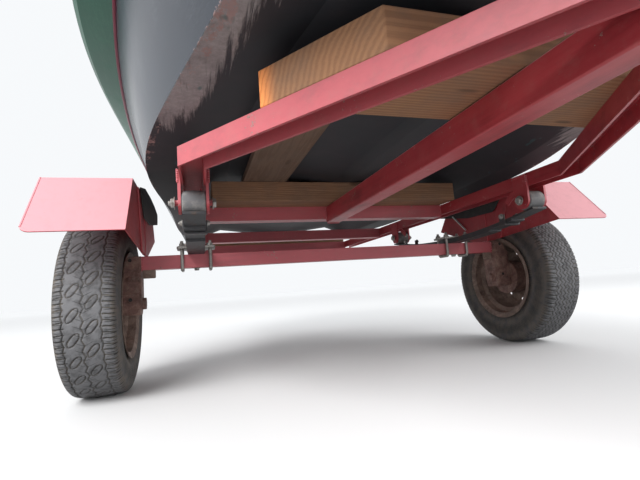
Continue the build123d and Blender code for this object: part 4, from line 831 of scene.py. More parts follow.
def worn_tyre(name, side, body, material, lines, loops, *stands_for):
    """The tyre on one side of the boat. Its section lies on rows round the wheel axis."""
    knots = HALF_SECTION + [(0, TYRE_R)] + [(-x, r) for x, r in reversed(HALF_SECTION)]
    wall = np.linspace(0, 5.7, 12)
    section = smooth_line(knots, np.concatenate([wall, np.linspace(5.9, 14.1, 80), wall + 14.3]))
    rows, columns = PITCHES * STEPS, len(section)
    run, across = np.meshgrid(np.arange(STEPS) * PITCH / STEPS, section[:, 0], indexing="ij")
    cut = np.tile(tread_cut(run, across, lines, loops), (PITCHES, 1))
    angle = np.arange(rows)[:, None] * 2 * math.pi / rows
    worn = 1 + 0.25 * np.sin(3 * angle + 1) * np.sin(5 * angle) - 0.15 * (np.abs(section[:, 0]) < 25)
    radius = section[:, 1] - CUT_DEPTH * cut * worn
    x = np.broadcast_to(side * (TYRE_X - section[:, 0]), radius.shape)
    ring = [x, radius * np.cos(angle), TYRE_R - side * radius * np.sin(angle)]
    points = np.stack(ring, -1).reshape(-1, 3)
    faces = grid_faces(rows, columns, True, True)
    mesh = bpy.data.meshes.new(name)
    mesh.from_pydata(from_axle(points).tolist(), [], faces.tolist())
    mesh.attributes.new("cut", "FLOAT", "POINT").data.foreach_set("value", cut.ravel())
    i, j = faces[:, :1] // columns, faces[:, :1] % columns
    turn = (i + [0, 0, 1, 1]) / STEPS
    over = section[(j + [0, 1, 1, 0]) % columns, 0] * MM * 10
    mesh.uv_layers.new(name="tread").data.foreach_set("uv", np.stack([turn, over], -1).ravel())
    corner = points[faces]
    normal = np.cross(corner[:, 1] - corner[:, 0], corner[:, 2] - corner[:, 0])
    if np.sum(normal * (corner[:, 0] - [side * TYRE_X, 0, TYRE_R])) < 0:
        mesh.flip_normals()
    mesh.shade_smooth()
    tyre = settled(name, mesh, material, body)
    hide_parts(*stands_for)


def tyre_finish():
    """Worn tread: fine cuts over the shoulders by bump, painted shade and dust in the cuts, rings on
    the walls.
    """
    f = Finish("worn_tyre")
    cut = f.node("ShaderNodeAttribute", {"attribute_name": "cut"}, output="Fac")
    uv = f.node("ShaderNodeUVMap", {"uv_map": "tread"})
    tread, over = f.part(uv, "X"), f.part(uv, "Y").bent()
    on_top = f.band(over, 0.80, 0.70)
    on_shoulder = f.band(over, 0.52, 0.60) * f.band(over, 0.86, 0.78)
    sipes = f.band(((tread * 6).fraction() - 0.5).bent(), 0.13, 0.05) * on_shoulder
    slant = ((tread * 3 + over * 2).fraction() - 0.5).bent()
    sipes = sipes.or_more(f.band(slant, 0.05, 0.02) * f.band(over, 0.30, 0.20) * 0.7)
    wheel = f.node("ShaderNodeMapping", None, {"Vector": f.place, "Location": (0, -AXLE_Y, -WHEEL_R)})
    flat = f.node("ShaderNodeVectorMath", {"operation": "MULTIPLY"}, {0: wheel, 1: (0, 1, 1)})
    radius = f.length(flat)
    rings = f.band(((radius * 125).fraction() - 0.5).bent(), 0.30, 0.12)
    rings = rings * f.band(radius, 0.262, 0.255) * f.band(radius, 0.205, 0.212)
    clouds = f.noise(0.05, 6, 0.7)
    grit = f.noise(0.0035, 6, 0.75)
    colour = f.mix(clouds, (0.070, 0.070, 0.074), (0.115, 0.114, 0.116))
    colour = f.mix(f.band(over, 0.84, 0.93), colour, (0.017, 0.017, 0.017))
    polish = on_top * (1 - cut) * f.patches(0.3, 0.6, 0.02, 4)
    colour = f.mix(polish * 0.6, colour, (0.19, 0.19, 0.20))
    dust = f.patches(0.36, 0.62, 0.04, 6, 0.75)
    # The grooves are darkened toward black: painted shade in the cuts.
    colour = f.mix(cut * 0.75, colour, (0.017, 0.016, 0.015))
    colour = f.mix(cut * dust * 0.45, colour, (0.20, 0.165, 0.125))
    shoulder_dust = f.band(over, 0.66, 0.80) * f.band(over, 0.95, 0.84) * dust
    colour = f.mix(shoulder_dust * 0.55, colour, (0.19, 0.155, 0.12))
    # The fine cuts are darkened: painted shade in the sipes.
    colour = f.mix(sipes * 0.8, colour, (0.012, 0.012, 0.012))
    wall_dust = f.band(grit, 0.5, 0.7) * 0.25 * (1 - on_top)
    colour = f.mix(wall_dust, colour, (0.17, 0.15, 0.125))
    height = grit * 0.25 - sipes * 1.0 + rings * 0.6 + clouds * 0.2
    return f.surface(colour, 0.80 - polish * 0.15, height, 0.0011)


tyre_rubber = tyre_finish()
# a loop: its middle round and across the tread
LOOPS = [(18, -28), (54, 22)]
# a line: its middle across the tread, the height of its waves and how many waves in a pitch
LOOP_LINES = [(-55, 2.5, 2), (-3, 4, 2), (47, 2.5, 2)]
WAVE_LINES = [(-46, 5, 3), (-28, 6, 3), (-9, 6, 3), (10, 6, 3), (29, 6, 3), (46, 5, 3)]
worn_tyre("worn_tyre_left", -1, "left_wheel", tyre_rubber, LOOP_LINES, LOOPS, "tyre_left")
worn_tyre("worn_tyre_right", 1, "right_wheel", tyre_rubber, WAVE_LINES, [], "tyre_right")

# %% [markdown]
# Bolts, nuts and washers are small, but a joint without them looks glued. Each is a turned profile:
# six points round make a hexagon, and a zigzag profile makes a thread. They sit where the CAD holds
# a pin or a bent bolt.

# %% Bolts and nuts


def hexagon(radius, height):
    """Hexagon with its outer end chamfered."""
    profile = [(0, 0), (radius, 0), (radius, 0.8 * height), (0.86 * radius, height), (0, height)]
    return turned(profile, 6)


def washer(radius, height=2.0):
    """Flat ring under a head, its edge softened."""
    profile = [(0, 0), (radius, 0), (radius, 0.6 * height), (radius - 0.6, height), (0, height)]
    return turned(profile, 20)


def thread(radius, low, high, pitch=1.6):
    """End of a threaded bolt: a radius that goes in and out by half a millimetre."""
    steps = int((high - low) / pitch) * 2
    heights = np.linspace(low, high - 1.5, steps)
    radii = radius - 0.45 * (np.arange(steps) % 2)
    profile = np.column_stack([radii, heights]).tolist()
    return turned([(0, low)] + profile + [(radius - 1.6, high), (0, high)], 12)


def bolt_head(radius, height, rim=1.3):
    """Washer and a hexagon head."""
    return joined(washer(rim * radius), moved(hexagon(radius, height), (0, 0, 1.8)))


def nut_and_bolt(radius, height, bolt, reach):
    """Washer, nut and the bolt's end, standing on height 0."""
    return joined(bolt_head(radius, height, 1.35), thread(bolt, height, reach))


SPRING_X, ROLLER_Y, ROLLER_Z, PLATE_TOP, CLIP_Y, CLIP_Z = 568, 484, 564, 499.6, 372, 528
pins = [(SPRING_X, y, ROLLER_Z) for y in (-ROLLER_Y, ROLLER_Y)]
clips = [(SPRING_X, y, CLIP_Z) for y in (-CLIP_Y, CLIP_Y)]
clamp_spots = [(SPRING_X + x, y, PLATE_TOP) for x in (-51, 51) for y in (-32, 32)]
RIGHTWARDS, LEFTWARDS = (1, 0, 0), (-1, 0, 0)
chassis_bolts = both(
    copies(nut_and_bolt(13, 9, 7, 17), np.array(pins) + [49, 0, 0], RIGHTWARDS),
    copies(bolt_head(13, 8), np.array(pins) - [49, 0, 0], LEFTWARDS),
    copies(nut_and_bolt(10.5, 10, 5.6, 21), clamp_spots),
    copies(bolt_head(10, 8), [(SPRING_X, 0, 420)], (0, 0, -1)),
)
piece("chassis_bolts", chassis_bolts, old_zinc, "zinc")
clip_bolts = both(
    copies(bolt_head(8, 6), np.array(clips) - [35, 0, 0], LEFTWARDS),
    copies(nut_and_bolt(8, 6, 4, 12), np.array(clips) + [35, 0, 0], RIGHTWARDS),
)
piece("clip_bolts", clip_bolts, old_zinc, "zinc")

DISC_X, STUDS, STUD_CIRCLE = 906, 5, 52
turn = np.arange(STUDS) * 2 * math.pi / STUDS
stud_places = np.column_stack(
    [np.full(STUDS, DISC_X), STUD_CIRCLE * np.cos(turn), TYRE_R + STUD_CIRCLE * np.sin(turn)]
)
wheel_nuts = copies(nut_and_bolt(11, 14, 6, 20), stud_places, RIGHTWARDS)
VALVE = [(0, 0), (6, 0), (6, 8), (3.5, 12), (3.5, 30), (4.4, 30), (4.4, 38), (0, 38)]
valve = copies(turned(VALVE, 14), [(DISC_X + 22, 0, TYRE_R + 118)], (1, 0, 0.35))
for name, shape, material, slot in (
    ("wheel_nuts", wheel_nuts, old_zinc, "zinc"), ("valve", valve, black_rubber, "tyre"),
):
    piece(f"{name}_right", shape, material, slot, "right_wheel")
    piece(f"{name}_left", mirrored(shape), material, slot, "left_wheel")

# %% [markdown]
# The frame was welded by hand. A bead of weld is a bar along the corner, which swells and thins as
# each drop of metal set. Its radius is a sine of the length plus a little seeded chance.

# %% Weld beads


def bead(start, end, radius=3.2):
    """A weld bead: r (1 + 0.2 sin(2 pi s / 5)) with chance added, drawn in at its ends."""
    start, end = np.asarray(start, float), np.asarray(end, float)
    length = np.linalg.norm(end - start)
    count = max(int(length / 1.6), 8)
    share = np.linspace(0, 1, count)
    swell = 1 + 0.2 * np.sin(share * length * 2 * math.pi / 5) + random.uniform(-0.1, 0.1, count)
    swell *= np.minimum(1, np.minimum(share, 1 - share) * length / 4 + 0.35)
    path = start + share[:, None] * (end - start)
    lean = (0, 0, 1) if abs(end[2] - start[2]) < 0.5 * length else (0, 1, 0)
    return swept(path, circle(radius, 7), lean, swell)


RAIL_IN, RAIL_LOW, CROSS_TOP, CROSS_LOW, BEAM_END = 536, 649, 656, 601, 760
seams = []
for front in (15, 700, 1340):
    for y in (front, front + 60):
        seams.append(bead((RAIL_IN, y, CROSS_LOW + 6), (RAIL_IN, y, CROSS_TOP - 4)))
    seams.append(bead((RAIL_IN, front + 2, CROSS_LOW), (RAIL_IN, front + 58, CROSS_LOW)))
for y in (-ROLLER_Y - 30, ROLLER_Y + 30):
    for x in (SPRING_X - 40, SPRING_X + 40):
        seams.append(bead((x, y, 612), (x, y, RAIL_LOW - 3)))
for y in (-ROLLER_Y, ROLLER_Y):
    for x in (SPRING_X - 40.5, SPRING_X + 40.5):
        seams.append(bead((x, y - 30, RAIL_LOW), (x, y + 30, RAIL_LOW)))
for y in (-25, 25):
    seams.append(bead((BEAM_END, y, 425), (BEAM_END, y, 466), 4))
seams.append(bead((BEAM_END, -24, 420.5), (BEAM_END, 24, 420.5), 4))
seams.append(bead((742.5, -24, 471), (742.5, 24, 471), 3))
piece("weld_beads", both(*seams), paint_plate, "red_paint")
spine_seams = [bead((x, 14, 590), (x, 14, 650)) for x in (-29, 29)]
spine_seams.append(bead((-27, 14, 584), (27, 14, 584)))
piece("spine_welds", joined(*spine_seams), paint_plate, "red_paint")

# %% [markdown]
# The mudguards are folded sheet. Their outer edge is rolled over a wire, a strip stiffens the inner
# side, and a black rubber flap hangs inside each one, which also stands for painted shade over the
# inner plate's rear. The right one also carries a bare rod.

# %% Mudguard details
GUARD_X, GUARD_OUT = 748, 997
EDGE = [(-414, 521), (-277, 689), (255, 689), (340, 582)]
STRIP = [(-196, 686), (-150, 686), (-46, 476), (-118, 476)]
FLAP = [(-185, 687), (-50, 716), (120, 722), (272, 718), (404, 705), (394, 656), (99, 604), (-90, 600)]
edges = [
    swept(np.linspace((GUARD_OUT, *a), (GUARD_OUT, *b), 24), circle(3.2, 8), (1, 0, 0.01))
    for a, b in zip(EDGE[:-1], EDGE[1:])
]
piece("guard_edges", both(*edges), paint_plate, "red_paint")
strip = plate(rounded(STRIP, 5), 5, 1.2, (GUARD_X - 5.3, 0, 0), *FACING_RIGHT)
piece("guard_strips", both(strip), paint_plate, "red_paint")
# The flap is a black sheet over the inner plate's rear: a rubber flap, and painted shade there.
flap = plate(rounded(FLAP, 14), 4, 1.2, (GUARD_X - 10, 0, 0), *FACING_RIGHT)
piece("guard_shade_flaps", both(flap), black_rubber, "grey_rubber")
rod_line = np.linspace((739, 214, 634), (739, 118, 548), 20)
piece("bare_rod", swept(rod_line, circle(4.5, 12)), zinc, "zinc")
lug = plate(oblong(44, 31, 5, (734, 404.5)), 8, 1.0, (0, -17, 0), *FACING_AHEAD)
piece("beam_lugs", both(lug), rust_rim, "rusty_iron")
stay_line = np.linspace((SPRING_X - 20, -ROLLER_Y + 40, 609), (SPRING_X - 20, -ROLLER_Y + 92, 572), 14)
stay = swept(stay_line, flat_bar(22, 5), RIGHTWARDS)
piece("spring_stays", both(stay, (stay[0] * [1, -1, 1], stay[1])), paint_plate, "red_paint")

# %% [markdown]
# The drop arm carries a plate with bolt holes on its front face, and bolt heads in some of them.
# The open holes are thin black discs: painted shade.

# %% Drop arm plates
ARM = [(763, 350), (829, 350), (829, 420), (812, 462), (782, 470), (763, 470)]
AHEAD = (0, -1, 0)
arm_plate = plate(rounded(ARM, 6), 5, 1.2, (0, -35, 0), *FACING_AHEAD)
foot_plate = plate(oblong(68, 70, 8, (802, 303)), 4, 1.2, (0, -35, 0), *FACING_AHEAD)
heads = copies(bolt_head(8.5, 6), [(797, -39.3, 387), (820, -39.3, 300)], AHEAD)
# An open hole is a thin black disc on the plate: painted shade of the hole.
hole_shade_discs = copies(disc(6.5, 0.5, 18), [(796, -40.1, 456), (796, -39.2, 316)], AHEAD)
hole_rim = turned([(7, 0), (9.5, 0), (9.2, 1.4), (7.6, 1.6), (7, 1.2), (7, 0)], 20)
rims = copies(hole_rim, [(796, -40.0, 456), (796, -39.0, 316)], AHEAD)
piece("arm_plates", both(arm_plate, foot_plate), rust_dark, "rusty_iron")
piece("arm_hole_shades", both(hole_shade_discs), black_rubber, "rusty_iron")
piece("arm_bolts", both(heads, rims), rust_dark, "rusty_iron")

# %% [markdown]
# The seats carry pads of foam under vinyl, for which the CAD has plain blocks. Each pad starts as a
# flat rounded box a little smaller than its block. Its mesh is made even by a voxel remesh, and a
# cloth simulation blows it up, so that it crowns and its sides pull in between the corners. No
# point may move further than a cap. After that come the seams, since a remesh would wipe them out.

# %% Seat pads blown up as cloth
PRESSURE, LAST_FRAME = 4, 20
CHANNEL_DEPTH, CHANNEL_WIDTH, WELT, WELT_AT = 8, 6, 3, 0.62


def coordinates(mesh):
    """The mesh's points in millimetres, one row each."""
    flat = np.empty(3 * len(mesh.vertices))
    mesh.vertices.foreach_get("co", flat)
    return flat.reshape(-1, 3) / MM


def applied(holder):
    """The holder's mesh with its modifiers worked in."""
    graph = bpy.context.evaluated_depsgraph_get()
    return bpy.data.meshes.new_from_object(holder.evaluated_get(graph))


def blown_pad(width, depth, thick, voxel, cap):
    """A pad lying on height 0 with its middle at the origin, as a mesh."""
    outline = oblong(width - 1.4 * cap, depth - 1.4 * cap, 40)
    points, faces = plate(outline, thick - cap, 16)
    mesh = bpy.data.meshes.new("pad")
    mesh.from_pydata((points * MM).tolist(), [], faces.tolist())
    holder = new_object("pad", mesh)
    remesh = holder.modifiers.new("even mesh", "REMESH")
    remesh.voxel_size = voxel * MM
    holder.data = applied(holder)
    holder.modifiers.clear()
    start = coordinates(holder.data)
    cloth = holder.modifiers.new("cloth", "CLOTH")
    cloth.settings.use_pressure = True
    cloth.settings.uniform_pressure_force = PRESSURE
    cloth.settings.effector_weights.gravity = 0
    for step in range(1, LAST_FRAME + 1):
        bpy.context.scene.frame_set(step)
    move = coordinates(applied(holder)) - start
    move -= move.mean(0) * [1, 1, 0]
    length = np.linalg.norm(move, axis=1, keepdims=True)
    start = start + move * np.minimum(1, cap / np.maximum(length, 1e-6))
    holder.modifiers.clear()
    bpy.context.scene.frame_set(1)
    start[:, 2] = np.maximum(start[:, 2], 0.4)
    holder.data.vertices.foreach_set("co", (start * MM).ravel())
    smooth = holder.modifiers.new("smooth", "SUBSURF")
    smooth.levels = smooth.render_levels = 1
    pad = applied(holder)
    bpy.data.objects.remove(holder)
    print("pad", width, "x", depth, "has", len(pad.vertices), "points")
    return pad


def sewn(name, pad, size, channels, origin, v=(0, 1, 0)):
    """Presses channels into a pad, raises its welt, and lays it at origin, its depth along v.

    A channel at c lowers the top by 8 exp(-((x - c) / 6)^2), the welt stands 3 out of the sides.
    """
    width, depth, thick = size
    points = coordinates(pad)
    normals = np.empty(3 * len(pad.vertices))
    pad.vertices.foreach_get("normal", normals)
    normals = normals.reshape(-1, 3)
    x, y, z = points.T
    top = np.clip((normals[:, 2] - 0.3) / 0.4, 0, 1) * np.clip((depth / 2 - 24 - np.abs(y)) / 20, 0, 1)
    groove = np.exp(-(((x[:, None] - channels) / CHANNEL_WIDTH) ** 2)).sum(1) * top
    welt = np.exp(-(((z - WELT_AT * thick) / 4) ** 2)) * np.clip(1 - np.abs(normals[:, 2]) * 2, 0, 1)
    points = points + normals * (WELT * welt)[:, None]
    points[:, 2] -= CHANNEL_DEPTH * groove
    u, v = unit((1, 0, 0)), unit(v)
    points = np.asarray(origin, float) + points @ np.stack([u, v, np.cross(u, v)])
    mesh = pad.copy()
    mesh.vertices.foreach_set("co", from_axle(points).ravel())
    seam = groove.clip(0, 1) + welt * 0.5
    mesh.attributes.new("seam", "FLOAT", "POINT").data.foreach_set("value", seam)
    mesh.shade_smooth()
    made = settled(name, mesh, sewn_vinyl, ROOT)
    return made


def vinyl():
    """Seat vinyl: fine pores, soft creases, darker and duller in the seams."""
    f = Finish("sewn_vinyl")
    pores = f.cells(0.0016)
    creases = f.noise((0.05, 0.02, 0.05), 5, 0.65, 0.6)
    grime = f.patches(0.5, 0.78, 0.07, 5, 0.7) * 0.3
    seam = f.node("ShaderNodeAttribute", {"attribute_name": "seam"}, output="Fac")
    tone = f.mix(grime, (0.60, 0.56, 0.48), (0.37, 0.35, 0.30))
    tone = f.mix(seam * 0.55, tone, (0.20, 0.17, 0.14))
    return f.surface(tone, 0.44 + grime * 0.4 + seam * 0.2, pores * 0.3 + creases, 0.0008)


sewn_vinyl = vinyl()
SEAT_X, SEAT_TOP, SEAT_PAD, BACK_PAD = 300, 1050.4, (400, 400, 74), (390, 240, 44)
BENCH_PAD, BACK_SLOPE = (1090, 330, 74), (0, 50, 340)
seat_pad = blown_pad(*SEAT_PAD, 7, 14)
back_pad = blown_pad(*BACK_PAD, 7, 10)
bench_pad = blown_pad(*BENCH_PAD, 9, 14)
channels = np.array([-120, -40, 40, 120])
for side, x in (("left", -SEAT_X), ("right", SEAT_X)):
    seat = sewn(f"seat_{side}_pad_sewn", seat_pad, SEAT_PAD, channels, (x, -217, SEAT_TOP))
    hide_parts(f"seat_{side}_pad")
    sewn(f"seat_{side}_back_pad", back_pad, BACK_PAD, channels, (x, 21.5, 1266), BACK_SLOPE)
bench = sewn("bench_pad_sewn", bench_pad, BENCH_PAD, np.linspace(-480, 480, 11), (0, 817, SEAT_TOP))
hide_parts("bench_pad")

# %% [markdown]
# Fittings stand on surfaces whose height no formula gives. A ray that is cast onto the CAD node finds
# the place and the direction that the surface faces there, and the fitting is set on it.

# %% Fittings set on a surface
HIGH, DOWN = 1900, (0, 0, -1)


def struck(node, start, direction):
    """Where a ray meets a node, in millimetres from the axle, and the surface's normal there."""
    direction = unit(direction)
    _, place, normal, _ = nodes[node].ray_cast(from_axle(start).tolist(), direction.tolist())
    return (np.array(place) - from_axle((0, 0, 0))) / MM, np.array(normal)


def on_deck(x, y, lift=0.0):
    """The deck's place under (x, y), raised by lift; over the cockpit, as high as its edge ahead."""
    ahead = y
    while not nodes["deck"].ray_cast(from_axle((x, ahead, HIGH)).tolist(), DOWN)[0]:
        ahead -= 5
    return struck("deck", (x, ahead, HIGH), DOWN)[0] * [1, 0, 1] + [0, y, lift]


def stood(shape, *spots):
    """The shape on the deck under each spot (x, y), its Z axis along the deck's normal."""
    found = [struck("deck", (x, y, HIGH), DOWN) for x, y in spots]
    return joined(*[copies(shape, [place], normal) for place, normal in found])


t = np.linspace(-1, 1, 21)
horn_line = np.column_stack([65 * t, 0 * t, 28 + 5 * t**2])
horns = swept(horn_line, circle(7, 12), (0, 1, 0), 1 - 0.45 * t**2)
foot = turned([(0, 0), (12, 0), (9, 4), (6, 14), (7, 27), (0, 28)], 14)
cleat = joined(plate(oblong(80, 30, 10), 3, 1), horns, copies(foot, [(-22, 0, 2), (22, 0, 2)]))
piece("deck_cleats", stood(cleat, (0, -2420), (-745, 1240), (745, 1240)), alloy, "alloy")

RAIL = [(275, -2240, 4), (335, -2080, 58), (420, -1840, 62), (500, -1580, 60), (560, -1350, 4)]
rail_bar = swept(through([on_deck(*knot) for knot in RAIL], 60), circle(10, 14))
rail_spots = [(x, y) for x, y, _ in RAIL]
posts = stood(turned([(0, 0), (20, 0), (19, 3), (9, 6), (8, 60), (0, 60)], 16), *rail_spots[1:4])
ends = stood(turned([(0, 0), (20, 0), (19, 3), (11, 6), (0, 9)], 16), rail_spots[0], rail_spots[4])
piece("bow_rails", both(rail_bar, posts, ends), alloy, "alloy")

filler = turned([(0, 0), (32, 0), (34, 2), (32, 4), (25, 5), (24, 8), (23, 9), (0, 9)], 32)
slot_bar = plate(flat_bar(36, 6), 4, 1, (0, 0, 8.6))
light_base = turned([(0, 0), (36, 0), (36, 10), (32, 13), (0, 13)], 28)
lens = turned([(0, 12), (28, 12), (28, 22), (24, 34), (14, 41), (0, 43)], 28)
piece("fuel_filler", stood(joined(filler, slot_bar), (760, 760)), alloy, "alloy")
piece("bow_light", stood(light_base, (0, -2570)), black_plastic, "black_plastic")
piece("bow_lens", stood(lens, (0, -2570)), screen_clear, "screen")

# %% Windscreen seal, sill and corners
DECK_LEVEL, PANE_HEIGHT, FRONT_X, FRONT_Y, SIDE_X, SIDE_Y = 1200, 410, 470, -925, 640, -440


def on_pane(x, y, high, lean=1.0):
    """A point of the screen's foot line brought up the pane: drawn in by a tenth, leaning aft."""
    return x * (1 - 0.1 * high / PANE_HEIGHT), y + 0.671 * high * lean, DECK_LEVEL + high


foot_line = [(-SIDE_X, SIDE_Y), (-FRONT_X, FRONT_Y), (FRONT_X, FRONT_Y), (SIDE_X, SIDE_Y)]
seal_line = []
for (x0, y0), (x1, y1) in zip(foot_line[:-1], foot_line[1:]):
    for s in np.linspace(0.02, 0.98, 30):
        x, y = x0 + s * (x1 - x0), y0 + s * (y1 - y0)
        lean = 0.4 + 0.6 * np.clip((SIDE_Y - y) / (SIDE_Y - FRONT_Y), 0, 1)
        spot = (x, y)
        for _ in range(6):
            spot = on_pane(x, y, on_deck(*spot)[2] - DECK_LEVEL, lean)[:2]
        seal_line.append(on_deck(*spot, 2))
seal_shape = [(-11, -5), (11, -5), (9, 2), (4, 6), (4, 12), (-4, 12), (-4, 6), (-9, 2)]
piece("screen_seal", swept(seal_line, seal_shape), black_rubber, "grey_rubber")
sill_line = [on_deck(x, -868) for x in np.linspace(-448, 448, 40)]
sill = swept(sill_line, oblong(76, 11.5, 5, (0, -4.25)))
piece("screen_sill", sill, black_plastic, "black_plastic")
corners = [[on_pane(x, FRONT_Y, high) for high in (95, 200, 300, 396)] for x in (-FRONT_X, FRONT_X)]
corner_bars = joined(*[swept(through(knots, 24), circle(7, 12), (0, 1, 0)) for knots in corners])
piece("screen_corners", corner_bars, alloy, "alloy")

# %% [markdown]
# The helm has gauges, switches and a cap on the wheel. Beside it the throttle stands on the side of
# the hull. The passenger has a grab handle and a locker.

# %% Dashboard
RAKE, DASH_Y = math.radians(35), -905
FACE_OUT = np.array([0, math.cos(RAKE), math.sin(RAKE)])
FACE_UP = np.array([0, -math.sin(RAKE), math.cos(RAKE)])
FACE_MIDDLE = np.array([-SEAT_X, DASH_Y + 170 - math.tan(RAKE) * 75, 1105])


def on_face(a, b, out=0.0):
    """A place on the helm's face, a across and b up from its middle."""
    return FACE_MIDDLE + [a, 0, 0] + b * FACE_UP + out * FACE_OUT


bezels, dials, ticks = [], [], []
for a, b, r in [(-78, 42, 28), (78, 42, 28), (-88, -40, 20), (88, -40, 20)]:
    ring = turned([(r - 4, 0), (r, 0), (r, 4), (r - 2, 6.5), (r - 4, 5.5), (r - 4, 0)], 32)
    bezels.append(copies(ring, [on_face(a, b)], FACE_OUT))
    dials.append(copies(disc(r - 4, 2, 32), [on_face(a, b)], FACE_OUT))
    turn = np.radians(np.linspace(-40, 220, 9))
    for c, s in zip(np.cos(turn), np.sin(turn)):
        start, end = (on_face(a + reach * c, b + reach * s, 2.3) for reach in (r - 11, r - 6))
        ticks.append(swept([start, (start + end) / 2, end], flat_bar(1.4, 0.6), FACE_OUT))
    needle = [on_face(a - share * r, b + share * r, 3) for share in (0, 0.3, 0.55)]
    ticks.append(swept(needle, flat_bar(1.8, 0.8), FACE_OUT))
piece("gauge_rims", joined(*bezels), alloy, "alloy")
piece("gauge_dials", joined(*dials), black_plastic, "black_plastic")
piece("gauge_marks", joined(*ticks), gel_cream, "vinyl")
toggle = turned([(0, 0), (8, 0), (8, 2), (5, 3), (5, 6), (2, 7), (3, 17), (0, 18)], 14)
toggles = copies(toggle, [on_face(a, -58) for a in (-45, -15, 15, 45)], FACE_OUT)
piece("dash_switches", toggles, alloy, "alloy")
cap = copies(turned([(0, 0), (31, 0), (30, 5), (22, 9), (0, 11)], 28), [on_face(0, 0, 132.3)], FACE_OUT)
piece("helm_cap", cap, black_plastic, "black_plastic", "helm")
HANDLE = [(-110, 0), (-108, 33), (-85, 47), (0, 50), (85, 47), (108, 33), (110, 0)]
handle_line = [(SEAT_X + x, DASH_Y + y, 1095) for x, y in HANDLE]
flange = turned([(0, 0), (19, 0), (18, 3), (10, 6), (0, 6)], 20)
flanges = copies(flange, [handle_line[0], handle_line[-1]], (0, 1, 0))
piece("grab_handle", joined(swept(through(handle_line, 48), circle(9, 12)), flanges), alloy, "alloy")

# %% Throttle, lockers, hatch and drains
wall, _ = struck("hull", (-300, -330, 1080), LEFTWARDS)
box = plate(oblong(120, 160, 18), 42, 7, wall + [1, 0, 0], *FACING_RIGHT)
lever_line = through(wall + [(50, 0, 20), (56, -14, 70), (66, -40, 130), (74, -52, 160)], 24)
lever = swept(lever_line, circle(7, 12), RIGHTWARDS)
hub = turned([(0, 0), (24, 0), (24, 10), (20, 14), (0, 14)], 24)
hub = copies(hub, [wall + [42, 0, 20]], RIGHTWARDS)
knob = turned([(0, 0), (11, 2), (14, 12), (12, 26), (6, 32), (0, 33)], 18)
knob = copies(knob, [wall + [72, -50, 150]], (0.2, -0.3, 1))
piece("throttle_box", joined(box, hub), black_plastic, "black_plastic")
piece("throttle_lever", joined(lever, knob), alloy, "alloy")

SOLE_TOP, DOOR_MIDDLE = 890.2, np.array([0, 660, 970.0])
door_out, door_up = unit((0, -160, -40)), (0, -40, 160)
doors = [
    plate(oblong(340, 120, 14), 5, 2, DOOR_MIDDLE + [x, 0, 0], RIGHTWARDS, door_up)
    for x in (-270, 270)
]
piece("bench_doors", joined(*doors), gel_cream, "seat_shell")
knob = turned([(0, 0), (14, 0), (13, 3), (6, 5), (6, 12), (11, 15), (11, 19), (0, 21)], 20)
knobs = copies(knob, [DOOR_MIDDLE + [x, 0, 0] + 5 * door_out for x in (-130, 130)], door_out)
hatch = turned([(0, 0), (128, 0), (130, 2), (130, 5), (120, 7), (116, 4), (0, 4)], 56)
turn = np.linspace(0, 6.1, 24)
pull = looped(np.column_stack([16 * np.cos(turn), 16 * np.sin(turn), np.full(24, 8.0)]), circle(2.5, 8))
pulls = [moved(pull, (x, 300, SOLE_TOP - 1)) for x in (60, -60)]
piece("sole_hatch", joined(moved(hatch, (0, 300, SOLE_TOP)), *pulls), alloy, "alloy")
feet = [(x + a, y, SOLE_TOP) for x in (-SEAT_X, SEAT_X) for a in (-232, 232) for y in (-360, 30)]
tabs = [moved(plate(oblong(34, 44, 6), 4, 1), place) for place in feet]
piece("seat_feet", joined(*tabs, copies(bolt_head(7, 5), np.array(feet) + [0, 0, 3.8])), zinc, "zinc")
piece("bench_knobs", knobs, alloy, "alloy")
drain = turned([(9, 0), (24, 0), (24, 3), (20, 4.5), (11, 4.5), (9, 3), (9, 0)], 24)
bung = turned([(0, 0), (20, 0), (20, 4), (9, 5), (9, 12), (0, 13)], 24)
drains = copies(drain, [(-225, 1190, 1101), (225, 1190, 1101)])
bung = copies(bung, [(0, 1400, 772)], (0, 1, 0))
piece("drain_fittings", joined(drains, bung), alloy, "alloy")

# %% [markdown]
# The outboard is tilted up. Its details are worked out in its own upright frame, aft of and above
# the tilt tube, and then turned by the same 40 degrees.

# %% Outboard details
TILT = math.radians(40)
TILT_TUBE = np.array([0, 1462, 1128.0])
motor_aft, motor_up = (0, math.cos(TILT), math.sin(TILT)), (0, -math.sin(TILT), math.cos(TILT))
MOTOR_AXES = np.array([RIGHTWARDS, motor_aft, motor_up])


def on_motor(*shapes):
    """Shapes given by x, aft and up, joined and turned with the motor."""
    points, faces = joined(*shapes)
    return TILT_TUBE + points @ MOTOR_AXES, faces


def motor_struck(node, start, direction):
    """The ray cast of struck, in the motor's own frame."""
    start = TILT_TUBE + np.asarray(start, float) @ MOTOR_AXES
    place, normal = struck(node, start, direction @ MOTOR_AXES)
    return (place - TILT_TUBE) @ MOTOR_AXES.T, normal @ MOTOR_AXES.T


def draped(node, starts, direction, section, lift=0.4):
    """A bar laid on a node's surface, below the points that the rays start from."""
    direction = unit(direction)
    hits = [motor_struck(node, start, direction) for start in starts]
    return swept([place + lift * normal for place, normal in hits], section, -direction)


def cowl_ring(width, front, rear, up, steps=14):
    """Outline of the cowl at a height: a rectangle whose corners are arcs of 0.4 of its width."""
    radius = 0.4 * width
    turn = np.linspace(0, math.pi / 2, steps)
    arcs = []
    for quarter, (sx, sy) in enumerate(((1, 1), (-1, 1), (-1, -1), (1, -1))):
        angle = turn + quarter * math.pi / 2
        across = sx * (width / 2 - radius) + radius * np.cos(angle)
        middle_aft = (front + rear) / 2 + sy * ((rear - front) / 2 - radius)
        arcs.append(np.column_stack([across, middle_aft + radius * np.sin(angle), np.full(steps, up)]))
    return np.concatenate(arcs)


